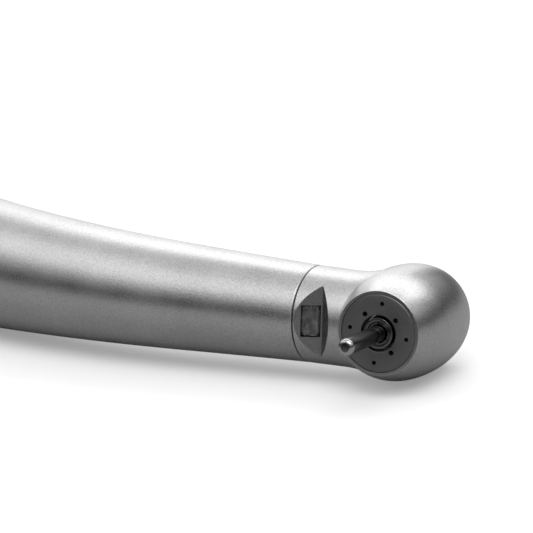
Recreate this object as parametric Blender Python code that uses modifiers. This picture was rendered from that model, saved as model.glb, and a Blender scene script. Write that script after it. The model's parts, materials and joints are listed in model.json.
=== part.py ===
"""Dental turbine handpiece with its air turbine, ball bearings, push-button chuck and quick coupling.

Blender 4.5, metres, +Z up. The handpiece lies on its side: the grip's axis runs along X with the head
at the +X end. Distances along the handle are measured backwards from the bur axis. Distances along the
bur axis are measured from the face plate's front towards the push button.
"""
import bpy
import bmesh
from math import acos, cos, pi, radians, sin, sqrt
from mathutils import Matrix, Vector

MM = 0.001

# Clearances
SEAT_GAP = 0.02 * MM          # between turned pieces that seat in each other
PLATE_GAP = 0.03 * MM         # round and behind the face plate
SEAM_GAP = 0.06 * MM          # between shells that meet end to end
BALL_GAP = 0.04 * MM          # between a ball and its raceways
TUBE_GAP = 0.05 * MM          # between a tube and the bore it sits in
EDGE = 0.05 * MM              # small chamfer on shell edges
CUT_BEYOND = 1.0 * MM         # how far a cutter runs past the face it cuts
MERGE_DISTANCE = 0.001 * MM   # below which two points of a turned shape are one
AXES_DISPLAY_SIZE = 3.0 * MM
REAL_EDGE_ANGLE = radians(32)   # edges bent more than this stay sharp
MOST_REST_ROLL = radians(30)
ROLL_TRIALS = 40
HEIGHTS_TRIED = 60

# Fineness of the round shapes
LARGE_STEPS = 24
MEDIUM_STEPS = 20
BORE_STEPS = 12
SPRING_STEPS = 10
HOLE_STEPS = 8

# Bearings
BEARING_BORE = 1.5875 * MM
BEARING_OUTSIDE = 3.175 * MM
BEARING_WIDTH = 2.38 * MM
PITCH_RADIUS = (BEARING_BORE + BEARING_OUTSIDE) / 2
BALL_RADIUS = 0.5 * MM
BALL_COUNT = 7
SHOULDER_OFFSET = 0.4 * MM    # of the races' shoulders from the pitch circle
CAGE_WIDTH = 1.7 * MM
CAGE_CLEARANCE = 0.08 * MM
POCKET_CLEARANCE = 0.05 * MM
O_RING_ROOM = 0.275 * MM      # between a bearing and its bore

# Along the bur axis, from the face plate's front towards the push button
PLATE_THICKNESS = 0.9 * MM
PLATE_TO_BEARING = 0.35 * MM
BEARING_TO_IMPELLER = 0.52 * MM
IMPELLER_WIDTH = 3.1 * MM
IMPELLER_TO_BEARING = 0.5 * MM
PRELOAD_ROOM = 0.37 * MM
CAP_SEAM_RISE = 1.4 * MM
CAP_LIP_RISE = 2.0 * MM
CAP_HEIGHT = 2.7 * MM
BUTTON_STAND_OUT = 0.3 * MM
FRONT_BEARING_HEIGHT = PLATE_THICKNESS + PLATE_TO_BEARING
IMPELLER_FRONT = FRONT_BEARING_HEIGHT + BEARING_WIDTH + BEARING_TO_IMPELLER
REAR_BEARING_HEIGHT = IMPELLER_FRONT + IMPELLER_WIDTH + IMPELLER_TO_BEARING
CAP_FRONT = REAR_BEARING_HEIGHT + BEARING_WIDTH + PRELOAD_ROOM
HOUSING_TOP = CAP_FRONT + CAP_SEAM_RISE
CAP_LIP_HEIGHT = CAP_FRONT + CAP_LIP_RISE
HEAD_BACK_HEIGHT = CAP_FRONT + CAP_HEIGHT
BUTTON_TOP = HEAD_BACK_HEIGHT + BUTTON_STAND_OUT

# Head
FACE_TO_NECK_AXIS = 5.25 * MM
HEAD_RIM_RADIUS = 4.07 * MM
HEAD_WIDE_RADIUS = 5.47 * MM
HEAD_WIDE_HEIGHT = 7.3 * MM
CHEEK_FULLNESS = 2.6
CHEEK_STATIONS = (0.25, 0.48, 0.67, 0.83, 0.94)
RIM_CHAMFER = 0.04 * MM
RIM_WALL = 0.22 * MM
PLATE_BORE_RADIUS = HEAD_RIM_RADIUS - RIM_WALL
BEARING_BORE_RADIUS = BEARING_OUTSIDE + O_RING_ROOM
CHAMBER_RADIUS = 4.15 * MM
CHAMBER_FLOOR = IMPELLER_FRONT - BEARING_TO_IMPELLER / 2

# Face plate
NOSE_RADIUS = 1.475 * MM
NOSE_RUNNING_GAP = 0.265 * MM
NOSE_OPENING_RADIUS = NOSE_RADIUS + NOSE_RUNNING_GAP
INNER_HOLES_FROM_OPENING = 0.48 * MM
OUTER_HOLES_FROM_INNER = 0.66 * MM
INNER_HOLE_CIRCLE = NOSE_OPENING_RADIUS + INNER_HOLES_FROM_OPENING
OUTER_HOLE_CIRCLE = INNER_HOLE_CIRCLE + OUTER_HOLES_FROM_INNER
INNER_HOLE_RADIUS = 0.25 * MM
OUTER_HOLE_RADIUS = 0.21 * MM
HOLE_PATTERN_TURN = radians(6.4)
HOLES_PER_CIRCLE = 4

# Along the handle, from the bur axis backwards
SEAM_POSITION = 9.13 * MM
SPIGOT_LENGTH = 6.07 * MM
SEAL_FROM_SEAM = 3.12 * MM
FRONT_CLAMP_FROM_SPIGOT = 3.8 * MM
BEND_START = 23.5 * MM
BEND_LENGTH = 27.8 * MM
GRIP_AFTER_BEND = 5.7 * MM
GRIP_LENGTH = 44.0 * MM
COLLAR_LENGTH = 9.0 * MM
SPIGOT_END = SEAM_POSITION + SPIGOT_LENGTH
SEAL_POSITION = SEAM_POSITION + SEAL_FROM_SEAM
FRONT_CLAMP_POSITION = SPIGOT_END + FRONT_CLAMP_FROM_SPIGOT
BEND_END = BEND_START + BEND_LENGTH
GRIP_START = BEND_END + GRIP_AFTER_BEND
GRIP_END = GRIP_START + GRIP_LENGTH
HANDLE_END = GRIP_END + COLLAR_LENGTH

# Neck and handle sleeve
NECK_LEAN = radians(6.53)
BEND_ANGLE = radians(17.19)
NECK_RADIUS = 4.73 * MM
NECK_FILLET = 12.0 * MM
NECK_INTO_HEAD = 0.4 * MM
SEAM_RADIUS = 4.78 * MM
SEAM_SLOPE = 0.0376
SPIGOT_RADIUS = 3.95 * MM
SEAL_THICKNESS = 0.34 * MM
SLEEVE_WALL = 0.75 * MM
SLEEVE_SEAT_MARGIN = 0.3 * MM
SLEEVE_TAPER_LENGTH = 3.0 * MM

# Notch with the light window, in the neck's own directions
NOTCH_FROM_SEAM = 2.54 * MM
NOTCH_DEPTH_POSITION = SEAM_POSITION - NOTCH_FROM_SEAM
NOTCH_DEPTH_LEVEL = 3.23 * MM
NOTCH_FLOOR_ANGLE = radians(33.7)
NOTCH_FRONT_ANGLE = radians(44.8)
NOTCH_REACH = 3.3 * MM
WINDOW_FROM_DEEPEST = 1.12 * MM
WINDOW_LENGTH = 1.94 * MM
WINDOW_WIDTH = 3.1 * MM
WINDOW_POCKET_DEPTH = 0.9 * MM
WINDOW_RECESS = 0.15 * MM
WINDOW_THICKNESS = 0.4 * MM
WINDOW_ROUNDING = 0.12 * MM

# Grip and collar
GRIP_RADIUS = 7.3 * MM
GRIP_WALL = 1.05 * MM
GRIP_BORE = GRIP_RADIUS - GRIP_WALL
BEND_END_BELOW_GRIP = 0.54 * MM
HANDLE_RADIUS_AT_BEND_END = GRIP_RADIUS - BEND_END_BELOW_GRIP
GRIP_SPIGOT_LENGTH = 6.0 * MM
GRIP_SPIGOT_WALL = 0.7 * MM
GRIP_EDGE_BEVEL = 0.2 * MM
GROOVE_COUNT = 3
GROOVES_FROM_GRIP_START = 9.0 * MM
GROOVE_PITCH = 4.0 * MM
GROOVE_WIDTH = 1.2 * MM
GROOVE_DEPTH = 0.25 * MM
COLLAR_TAPER = 0.55 * MM
COLLAR_TAPER_LENGTH = 3.1 * MM
COLLAR_SETBACK = 0.4 * MM
COLLAR_EDGE_BEVEL = 0.3 * MM

# Coupling socket, from the handle's end forwards
SOCKET_MOUTH_LENGTH = 9.0 * MM
SOCKET_MIDDLE_LENGTH = 7.0 * MM
SOCKET_BOTTOM_LENGTH = 6.0 * MM
SOCKET_WALL = 4.0 * MM
SOCKET_MIDDLE_END = HANDLE_END - SOCKET_MOUTH_LENGTH
SOCKET_BOTTOM_END = SOCKET_MIDDLE_END - SOCKET_MIDDLE_LENGTH
SOCKET_WALL_END = SOCKET_BOTTOM_END - SOCKET_BOTTOM_LENGTH
SOCKET_FRONT = SOCKET_WALL_END - SOCKET_WALL
SOCKET_MOUTH_RADIUS = 4.7 * MM
SOCKET_MIDDLE_RADIUS = 3.9 * MM
SOCKET_BOTTOM_RADIUS = 3.2 * MM
SNAP_GROOVE_FROM_END = 4.0 * MM
SNAP_GROOVE_WIDTH = 0.8 * MM
SNAP_GROOVE_DEPTH = 0.4 * MM
SNAP_RING_OPENING = radians(50)

# Tubes: angle round the handle's axis, from the bur side upwards, and outer radius
DRIVE_TUBE_ANGLE = radians(127)
DRIVE_TUBE_RADIUS = 1.1 * MM
WATER_TUBE_ANGLE = radians(71)
WATER_TUBE_RADIUS = 0.6 * MM
CHIP_AIR_TUBE_ANGLE = radians(-71)
CHIP_AIR_TUBE_RADIUS = 0.6 * MM
EXHAUST_ANGLE = radians(-127)
EXHAUST_RADIUS = 1.15 * MM
LIGHT_GUIDE_ANGLE = 0.0
LIGHT_GUIDE_RADIUS = 0.8 * MM
LIGHT_GUIDE_FROM_NOTCH = 1.7 * MM
SPIGOT_RIM = 0.65 * MM        # between the tubes and the spigot's outside
TUBE_WALL = 0.15 * MM
TUBE_INSERTION = 3.0 * MM
TUBE_SEAT_ROOM = 1.2 * MM
TUBE_SEAT_POSITION = SPIGOT_END - TUBE_INSERTION - TUBE_SEAT_ROOM
CLAMP_THICKNESS = 2.0 * MM
MIDDLE_CLAMP_FROM_GRIP_START = 1.5 * MM

# Drillings in the neck: their ends as bur side, up and distance behind the bur axis
DRIVE_NOZZLE_END = (-0.5 * MM, 3.0 * MM, 1.8 * MM)
DRIVE_NOZZLE_RADIUS = 0.75 * MM
EXHAUST_END = (-0.6 * MM, -2.2 * MM, 1.8 * MM)
SPRAY_CORNER = 4.4 * MM
SPRAY_EXIT = (4.45 * MM, 1.6 * MM, 2.4 * MM)
SPRAY_RADIUS = 0.28 * MM
DRILLING_OVERLAP = 0.3 * MM

# Rotor
NOSE_STAND_OUT = 0.05 * MM
NOSE_TO_BEARING = 0.1 * MM
SPINDLE_BORE = 1.14 * MM
SPINDLE_STUB = 0.57 * MM
SPINDLE_REAR = REAR_BEARING_HEIGHT + BEARING_WIDTH + SPINDLE_STUB
COLLET_RECESS = 0.25 * MM
COLLET_LENGTH = 7.5 * MM
COLLET_SLOT_WIDTH = 0.2 * MM
COLLET_SLOT_LENGTH = 5.0 * MM
COLLET_SLOTS = 3
COLLET_SLOT_SHIFT = 0.25         # turn of the first slot, as a share of the space between two
IMPELLER_HUB_RADIUS = 2.25 * MM
IMPELLER_TIP_GAP = 0.2 * MM
BLADE_COUNT = 9
BLADE_THICKNESS = 0.3 * MM
BLADE_ROOT_DEPTH = 0.35 * MM
BLADE_SIDE_STEP = 0.03 * MM
BLADE_SWEEP = radians(26)
BLADE_BOW = radians(13)
BLADE_SEGMENTS = 3

# Bur blank
PIN_RADIUS = 0.8 * MM
PIN_REACH = 8.1 * MM
PIN_TO_SPINDLE_REAR = 0.7 * MM
PIN_INSERTION = SPINDLE_REAR - PIN_TO_SPINDLE_REAR
PIN_CHAMFER = 0.28 * MM

# Rear bearing's cup, back cap and push button
CUP_CLEARANCE = 0.05 * MM
CUP_RADIUS = CHAMBER_RADIUS - CUP_CLEARANCE
CUP_GAP = 0.1 * MM
CAP_STATIONS = (0.015, 0.12, 0.45, 0.96)
CAP_EDGE_BEVEL = 0.1 * MM
CAP_WEB = 0.3 * MM
CAP_WALL = 0.45 * MM
CAP_LIP_WIDTH = 0.65 * MM
CAP_POCKET_RADIUS = CUP_RADIUS - CAP_WALL
BUTTON_FLANGE_CLEARANCE = 0.07 * MM
BUTTON_FLANGE_WIDTH = 0.33 * MM
BUTTON_FLANGE_THICKNESS = 0.5 * MM
BUTTON_FLANGE_RADIUS = CAP_POCKET_RADIUS - BUTTON_FLANGE_CLEARANCE
BUTTON_RADIUS = BUTTON_FLANGE_RADIUS - BUTTON_FLANGE_WIDTH
HEAD_BACK_RADIUS = BUTTON_RADIUS + CAP_LIP_WIDTH
BUTTON_GAP = 0.05 * MM        # round the button in the cap's lip
BUTTON_LIP_GAP = 0.06 * MM    # below the lip that holds the flange
BUTTON_DOME = 0.35 * MM
DOME_STATIONS = (0.0, 0.4, 0.75)
BUTTON_ROOF = 0.6 * MM
BUTTON_SKIRT = 0.34 * MM      # below the flange
BUTTON_WALL = 0.5 * MM
BUTTON_BOSS_RADIUS = 0.95 * MM
BUTTON_CEILING = BUTTON_TOP - BUTTON_ROOF
SPRING_SEAT_WIDTH = 0.45 * MM
SPRING_WIRE_RADIUS = 0.13 * MM
SPRING_TURNS = 2.5
CAP_WEB_OPENING = BUTTON_RADIUS - BUTTON_WALL - SPRING_SEAT_WIDTH
BUTTON_SPRING_RADIUS = BUTTON_RADIUS - BUTTON_WALL - SPRING_SEAT_WIDTH / 2
PUSHER_GAP = 0.3 * MM
PUSHER_STAND_OUT = 0.5 * MM
PUSHER_TOP = CAP_FRONT + PUSHER_STAND_OUT
PUSHER_TIP_LENGTH = 0.35 * MM
PUSHER_CLEARANCE = 0.05 * MM
WASHER_THICKNESS = 0.1 * MM
WASHER_WAVE = 0.05 * MM
WASHER_WAVES = 3

FINISHES = {
    "satin_steel": ((0.55, 0.55, 0.55), 0.38, 1.0),
    "dark_plate": ((0.12, 0.12, 0.12), 0.5, 1.0),
    "bright_steel": ((0.62, 0.62, 0.63), 0.2, 1.0),
    "race_steel": ((0.5, 0.5, 0.52), 0.15, 1.0),
    "ball_ceramic": ((0.08, 0.08, 0.085), 0.12, 0.0),
    "cage_polymer": ((0.35, 0.2, 0.08), 0.5, 0.0),
    "rotor_alloy": ((0.6, 0.6, 0.61), 0.3, 1.0),
    "seal_rubber": ((0.02, 0.02, 0.02), 0.7, 0.0),
    "tube_brass": ((0.7, 0.5, 0.25), 0.3, 1.0),
    "clear_glass": ((0.75, 0.8, 0.8), 0.05, 0.0),
    "clamp_polymer": ((0.05, 0.05, 0.055), 0.6, 0.0),
}


def new_collection(name):
    collection = bpy.data.collections.new(name)
    bpy.context.scene.collection.children.link(collection)
    return collection


def clear_scene():
    for obj in list(bpy.data.objects):
        bpy.data.objects.remove(obj, do_unlink=True)


def make_materials():
    made = {}
    for name, (colour, roughness, metallic) in FINISHES.items():
        material = bpy.data.materials.new(name)
        material.use_nodes = True
        shader = material.node_tree.nodes["Principled BSDF"]
        shader.inputs["Base Color"].default_value = (*colour, 1.0)
        shader.inputs["Roughness"].default_value = roughness
        shader.inputs["Metallic"].default_value = metallic
        made[name] = material
    return made


clear_scene()
PARTS = new_collection("dental_turbine_handpiece")
CUTTERS = new_collection("cutters")
MATERIALS = make_materials()


# Frames

def make_frame(name, parent, origin, x_direction, z_direction):
    """An empty whose X and Z axes point as told, in its parent's frame."""
    x_axis = Vector(x_direction).normalized()
    z_axis = Vector(z_direction).normalized()
    y_axis = z_axis.cross(x_axis)
    empty = bpy.data.objects.new(name, None)
    empty.empty_display_size = AXES_DISPLAY_SIZE
    PARTS.objects.link(empty)
    empty.parent = parent
    turn = Matrix((x_axis, y_axis, z_axis)).transposed().to_4x4()
    empty.matrix_local = Matrix.Translation(origin) @ turn
    return empty


def handle_axis(position):
    """Point of the handle's axis at a distance behind the bur axis, and the angle it points at there."""
    if position >= BEND_END:
        return Vector((BEND_END - position, 0.0, 0.0)), 0.0
    bend_length = BEND_END - BEND_START
    bend_radius = bend_length / BEND_ANGLE
    angle = BEND_ANGLE * min(BEND_END - position, bend_length) / bend_length
    point = Vector((bend_radius * sin(angle), bend_radius * (1 - cos(angle)), 0.0))
    straight = max(BEND_START - position, 0.0)
    return point + straight * Vector((cos(angle), sin(angle), 0.0)), angle


def handle_point(position, bur_side, up):
    """Point at offsets from the handle's axis: towards the side the bur points to, and upwards."""
    point, angle = handle_axis(position)
    return point + bur_side * Vector((sin(angle), -cos(angle), 0.0)) + up * Vector((0.0, 0.0, 1.0))


HEAD_TURN = BEND_ANGLE + NECK_LEAN
BUR_DIRECTION = Vector((sin(HEAD_TURN), -cos(HEAD_TURN), 0.0))
FACE_CENTRE = handle_point(0.0, 0.0, 0.0) + FACE_TO_NECK_AXIS * BUR_DIRECTION

WHOLE = make_frame("handpiece_at_rest", None, (0, 0, 0), (1, 0, 0), (0, 0, 1))
HEAD = make_frame("bur_axis", WHOLE, FACE_CENTRE, (cos(HEAD_TURN), sin(HEAD_TURN), 0), -BUR_DIRECTION)
NECK = make_frame("neck_axis", WHOLE, handle_point(0.0, 0.0, 0.0),
                  (sin(BEND_ANGLE), -cos(BEND_ANGLE), 0), (-cos(BEND_ANGLE), -sin(BEND_ANGLE), 0))
REAR = make_frame("rear_axis", WHOLE, (BEND_END, 0, 0), (0, -1, 0), (-1, 0, 0))
ROTOR = make_frame("rotor_axis", HEAD, (0, 0, 0), (1, 0, 0), (0, 0, 1))


# Modelling helpers

def place(name, data, frame, finish):
    """A part of the handpiece."""
    obj = bpy.data.objects.new(name, data)
    PARTS.objects.link(obj)
    obj.parent = frame
    data.materials.append(MATERIALS[finish])
    return obj


def place_cutter(name, data, frame):
    """A shape that only cuts or joins another."""
    obj = bpy.data.objects.new(name, data)
    CUTTERS.objects.link(obj)
    obj.parent = frame
    obj.hide_render = True
    obj.display_type = "WIRE"
    return obj


def add_turn(obj, steps):
    screw = obj.modifiers.new("Turn", "SCREW")
    screw.axis = "Z"
    screw.angle = 2 * pi
    screw.steps = steps
    screw.render_steps = steps
    screw.use_merge_vertices = True
    screw.merge_threshold = MERGE_DISTANCE
    return obj


def profile_mesh(name, profile):
    """Profile of (radius, height) points down the outer side; it closes unless it starts on the axis."""
    mesh = bpy.data.meshes.new(name)
    points = [(radius, 0.0, height) for radius, height in profile]
    edges = [(i, i + 1) for i in range(len(points) - 1)]
    if profile[0][0] > 0:
        edges.append((len(points) - 1, 0))
    mesh.from_pydata(points, edges, [])
    return mesh


def turned(name, profile, frame, finish, steps=MEDIUM_STEPS):
    return add_turn(place(name, profile_mesh(name, profile), frame, finish), steps)


def turned_cutter(name, profile, frame, steps=MEDIUM_STEPS):
    return add_turn(place_cutter(name, profile_mesh(name, profile), frame), steps)


def ring_profile(inner, outer, low, high, edge=0.0):
    """Square section of a ring; with an edge size, its outer edges are chamfered."""
    outside = [(outer, high), (outer, low)]
    if edge:
        outside = [(outer - edge, high), (outer, high - edge), (outer, low + edge), (outer - edge, low)]
    return outside + [(inner, low), (inner, high)]


def boolean(target, other, operation="DIFFERENCE"):
    modifier = target.modifiers.new(other.name, "BOOLEAN")
    modifier.operation = operation
    modifier.solver = "EXACT"
    modifier.object = other
    return target


def drill(name, frame, start, end, radius, steps=BORE_STEPS):
    """A round cutter from one point to another in the frame."""
    start = Vector(start)
    run = Vector(end) - start
    bm = bmesh.new()
    bmesh.ops.create_cone(bm, cap_ends=True, segments=steps, radius1=radius, radius2=radius,
                          depth=run.length)
    turn = run.to_track_quat("Z", "Y").to_matrix().to_4x4()
    bmesh.ops.transform(bm, verts=bm.verts, matrix=Matrix.Translation(start + run / 2) @ turn)
    mesh = bpy.data.meshes.new(name)
    bm.to_mesh(mesh)
    bm.free()
    return place_cutter(name, mesh, frame)


def box_mesh(name, size, centre=(0, 0, 0), rounding=0.0):
    bm = bmesh.new()
    bmesh.ops.create_cube(bm, size=1.0)
    bmesh.ops.scale(bm, vec=size, verts=bm.verts)
    bmesh.ops.translate(bm, vec=centre, verts=bm.verts)
    if rounding:
        bmesh.ops.bevel(bm, geom=bm.edges, offset=rounding, segments=2, profile=0.5, affect="EDGES")
    mesh = bpy.data.meshes.new(name)
    bm.to_mesh(mesh)
    bm.free()
    return mesh


def prism_cutter(name, outline, width, frame):
    """An outline of (x, z) points pushed out along Y, equally to both sides."""
    bm = bmesh.new()
    face = bm.faces.new([bm.verts.new((x, -width / 2, z)) for x, z in outline])
    pushed = bmesh.ops.extrude_face_region(bm, geom=[face])
    moved = [item for item in pushed["geom"] if isinstance(item, bmesh.types.BMVert)]
    bmesh.ops.translate(bm, vec=(0, width, 0), verts=moved)
    bmesh.ops.recalc_face_normals(bm, faces=bm.faces)
    mesh = bpy.data.meshes.new(name)
    bm.to_mesh(mesh)
    bm.free()
    return place_cutter(name, mesh, frame)


def evaluated_mesh(obj):
    depsgraph = bpy.context.evaluated_depsgraph_get()
    return bpy.data.meshes.new_from_object(obj.evaluated_get(depsgraph))


def apply_modifiers(obj):
    obj.data = evaluated_mesh(obj)
    obj.modifiers.clear()
    return obj


def bend_along_handle(obj):
    """Carry a straight piece, drawn along Z by its distance behind the bur axis, onto the curved axis."""
    apply_modifiers(obj)
    for vertex in obj.data.vertices:
        vertex.co = handle_point(vertex.co.z, vertex.co.x, vertex.co.y)
    return obj


def spread(first, last, count):
    """Evenly spaced values from the first to the last."""
    return [first + (last - first) * i / (count - 1) for i in range(count)]


# Outer forms

def head_radius(height):
    """Outer radius of the head: a full cheek from the rim, then an elliptic back."""
    if height < HEAD_WIDE_HEIGHT:
        share = (1 - height / HEAD_WIDE_HEIGHT) ** CHEEK_FULLNESS
        return HEAD_WIDE_RADIUS - (HEAD_WIDE_RADIUS - HEAD_RIM_RADIUS) * share
    run = (height - HEAD_WIDE_HEIGHT) / (HEAD_BACK_HEIGHT - HEAD_WIDE_HEIGHT)
    return HEAD_BACK_RADIUS + (HEAD_WIDE_RADIUS - HEAD_BACK_RADIUS) * sqrt(max(1 - run * run, 0.0))


def handle_radius(position):
    """Outer radius of the handle sleeve, which swells steadily from the seam to the grip."""
    run = position - SEAM_POSITION
    span = BEND_END - SEAM_POSITION
    growth = (HANDLE_RADIUS_AT_BEND_END - SEAM_RADIUS - SEAM_SLOPE * span) / span ** 2
    return SEAM_RADIUS + SEAM_SLOPE * run + growth * run * run


SLEEVE_SPIGOT_RADIUS = GRIP_BORE - TUBE_GAP
SLEEVE_SPIGOT_BORE = SLEEVE_SPIGOT_RADIUS - GRIP_SPIGOT_WALL
SLEEVE_FRONT_BORE = SPIGOT_RADIUS + TUBE_GAP


# Head housing

def neck_fillet_span():
    """Where the fillet on the neck's upper and lower sides starts on the neck and ends on the head."""
    reach = HEAD_WIDE_RADIUS + NECK_FILLET
    back = sqrt(reach ** 2 - (NECK_RADIUS + NECK_FILLET) ** 2)
    return back, HEAD_WIDE_RADIUS * back / reach


def make_neck():
    """Neck with the spigot that carries the handle, drawn out to the head above and below."""
    fillet_back, fillet_front = neck_fillet_span()
    seal_floor = SPIGOT_RADIUS - SEAL_THICKNESS + 2 * SEAT_GAP
    groove_half = SEAL_THICKNESS / 2 + TUBE_GAP
    seam = SEAM_POSITION - SEAM_GAP / 2
    front = fillet_front - NECK_INTO_HEAD
    profile = [(0, SPIGOT_END), (SPIGOT_RADIUS, SPIGOT_END),
               (SPIGOT_RADIUS, SEAL_POSITION + groove_half), (seal_floor, SEAL_POSITION + groove_half),
               (seal_floor, SEAL_POSITION - groove_half), (SPIGOT_RADIUS, SEAL_POSITION - groove_half),
               (SPIGOT_RADIUS, seam), (SEAM_RADIUS - EDGE, seam), (SEAM_RADIUS, seam - EDGE)]
    profile += [(NECK_RADIUS, position) for position in spread(fillet_back, fillet_front, 4)]
    profile += [(NECK_RADIUS, front), (0, front)]
    mesh = profile_mesh("neck", profile)
    neck = apply_modifiers(add_turn(place_cutter("neck", mesh, NECK), LARGE_STEPS))
    for vertex in neck.data.vertices:
        run = min(max(fillet_back - vertex.co.z, 0.0), fillet_back - fillet_front)
        lift = NECK_FILLET - sqrt(NECK_FILLET ** 2 - run ** 2)
        vertex.co.y *= 1 + lift / NECK_RADIUS
    return neck


def make_head_cavity():
    """Stepped bore for the face plate, the front bearing, the impeller and the back cap."""
    above = HOUSING_TOP + CUT_BEYOND
    ledge = PLATE_THICKNESS + PLATE_GAP
    profile = [(0, above), (CHAMBER_RADIUS, above), (CHAMBER_RADIUS, CHAMBER_FLOOR),
               (BEARING_BORE_RADIUS, CHAMBER_FLOOR), (BEARING_BORE_RADIUS, ledge),
               (PLATE_BORE_RADIUS, ledge), (PLATE_BORE_RADIUS, -CUT_BEYOND), (0, -CUT_BEYOND)]
    return turned_cutter("head_cavity", profile, HEAD, LARGE_STEPS)


def notch_point(along_floor):
    """Point on the notch's floor, by its distance from the deepest line, in the neck's frame."""
    return Vector((NOTCH_DEPTH_LEVEL + along_floor * sin(NOTCH_FLOOR_ANGLE), 0.0,
                   NOTCH_DEPTH_POSITION + along_floor * cos(NOTCH_FLOOR_ANGLE)))


def make_notch():
    floor_run = NOTCH_REACH / sin(NOTCH_FLOOR_ANGLE)
    floor_end = notch_point(floor_run)
    front_run = NOTCH_REACH / sin(NOTCH_FRONT_ANGLE)
    front_position = NOTCH_DEPTH_POSITION - front_run * cos(NOTCH_FRONT_ANGLE)
    outline = [(NOTCH_DEPTH_LEVEL, NOTCH_DEPTH_POSITION), (floor_end.x, floor_end.z),
               (NOTCH_DEPTH_LEVEL + NOTCH_REACH, front_position)]
    return prism_cutter("notch", outline, 3 * SEAM_RADIUS, NECK)


WINDOW = make_frame("window_centre", NECK, notch_point(WINDOW_FROM_DEEPEST),
                    (sin(NOTCH_FLOOR_ANGLE), 0, cos(NOTCH_FLOOR_ANGLE)),
                    (cos(NOTCH_FLOOR_ANGLE), 0, -sin(NOTCH_FLOOR_ANGLE)))


def tube_place(angle, radius):
    """Offsets from the handle's axis, towards the bur side and upwards, and the radius."""
    distance = SPIGOT_RADIUS - SPIGOT_RIM - radius
    return distance * cos(angle), distance * sin(angle), radius


DRIVE_TUBE = tube_place(DRIVE_TUBE_ANGLE, DRIVE_TUBE_RADIUS)
WATER_TUBE = tube_place(WATER_TUBE_ANGLE, WATER_TUBE_RADIUS)
CHIP_AIR_TUBE = tube_place(CHIP_AIR_TUBE_ANGLE, CHIP_AIR_TUBE_RADIUS)
EXHAUST = tube_place(EXHAUST_ANGLE, EXHAUST_RADIUS)
LIGHT_GUIDE = tube_place(LIGHT_GUIDE_ANGLE, LIGHT_GUIDE_RADIUS)


def tube_bores(name, frame, tubes, start, end):
    """Cutters along the handle for the tubes, each with its clearance."""
    return [drill(f"{name}_bore_{i + 1}", frame, (x, y, start), (x, y, end), radius + TUBE_GAP)
            for i, (x, y, radius) in enumerate(tubes)]


def make_passages():
    """Bores for the tubes and drilled passages to the turbine chamber and the spray holes."""
    behind = SPIGOT_END + CUT_BEYOND
    light_start = NOTCH_DEPTH_POSITION + LIGHT_GUIDE_FROM_NOTCH - LIGHT_GUIDE_RADIUS / 2
    tubes = (DRIVE_TUBE, WATER_TUBE, CHIP_AIR_TUBE)
    passages = tube_bores("tube_seat", NECK, tubes, TUBE_SEAT_POSITION, behind)
    passages += tube_bores("light_seat", NECK, (LIGHT_GUIDE,), light_start, behind)
    into_seat = TUBE_SEAT_POSITION + DRILLING_OVERLAP
    passages.append(drill("drive_nozzle", NECK, (*DRIVE_TUBE[:2], into_seat), DRIVE_NOZZLE_END,
                          DRIVE_NOZZLE_RADIUS))
    passages.append(drill("exhaust_passage", NECK, (*EXHAUST[:2], behind), EXHAUST_END, EXHAUST_RADIUS))
    exit_bur_side, exit_up, exit_position = SPRAY_EXIT
    for name, (bur_side, up, _) in (("water", WATER_TUBE), ("chip_air", CHIP_AIR_TUBE)):
        side = 1 if up > 0 else -1
        corner = (bur_side, up, SPRAY_CORNER)
        passages.append(drill(f"{name}_run", NECK, (bur_side, up, into_seat), corner,
                              SPRAY_RADIUS, HOLE_STEPS))
        passages.append(drill(f"{name}_rise", NECK, (bur_side - SPRAY_RADIUS / 2, up, SPRAY_CORNER),
                              (exit_bur_side, side * exit_up, exit_position), SPRAY_RADIUS, HOLE_STEPS))
    return passages


def make_head_housing():
    """Head, neck and spigot in one piece, bored for the turbine and cut with the light notch."""
    back = spread(HOUSING_TOP, HEAD_WIDE_HEIGHT, 4)
    cheek = [HEAD_WIDE_HEIGHT * (1 - share) for share in CHEEK_STATIONS]
    profile = [(0, HOUSING_TOP)] + [(head_radius(height), height) for height in back + cheek]
    profile += [(head_radius(EDGE), EDGE), (HEAD_RIM_RADIUS - RIM_CHAMFER, 0), (0, 0)]
    housing = turned("head_housing", profile, HEAD, "satin_steel", LARGE_STEPS)
    boolean(housing, make_neck(), "UNION")
    boolean(housing, make_notch())
    pocket = box_mesh("window_pocket", (WINDOW_LENGTH, WINDOW_WIDTH, 2 * WINDOW_POCKET_DEPTH))
    boolean(housing, place_cutter("window_pocket", pocket, WINDOW))
    for passage in make_passages():
        boolean(housing, passage)
    boolean(housing, make_head_cavity())
    return housing


def make_light_window():
    gap = 2 * TUBE_GAP
    size = (WINDOW_LENGTH - gap, WINDOW_WIDTH - gap, WINDOW_THICKNESS)
    depth = WINDOW_RECESS + WINDOW_THICKNESS / 2
    lens = box_mesh("light_window", size, (0, 0, -depth), WINDOW_ROUNDING)
    return place("light_window", lens, WINDOW, "clear_glass")


def make_face_plate():
    """Front plate with the opening for the spindle nose and two circles of spray holes."""
    profile = ring_profile(NOSE_OPENING_RADIUS, PLATE_BORE_RADIUS - PLATE_GAP, 0, PLATE_THICKNESS, EDGE)
    plate = turned("face_plate", profile, HEAD, "dark_plate", LARGE_STEPS)
    circles = (("outer", OUTER_HOLE_CIRCLE, OUTER_HOLE_RADIUS, 0.0),
               ("inner", INNER_HOLE_CIRCLE, INNER_HOLE_RADIUS, 0.5))
    for which, circle, hole_radius, offset in circles:
        for i in range(HOLES_PER_CIRCLE):
            angle = HOLE_PATTERN_TURN + 2 * pi * (i + offset) / HOLES_PER_CIRCLE
            x, y = circle * cos(angle), circle * sin(angle)
            boolean(plate, drill(f"{which}_spray_hole_{i + 1}", HEAD, (x, y, -CUT_BEYOND),
                                 (x, y, PLATE_THICKNESS + CUT_BEYOND), hole_radius, HOLE_STEPS))
    return plate


# Bearings

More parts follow.
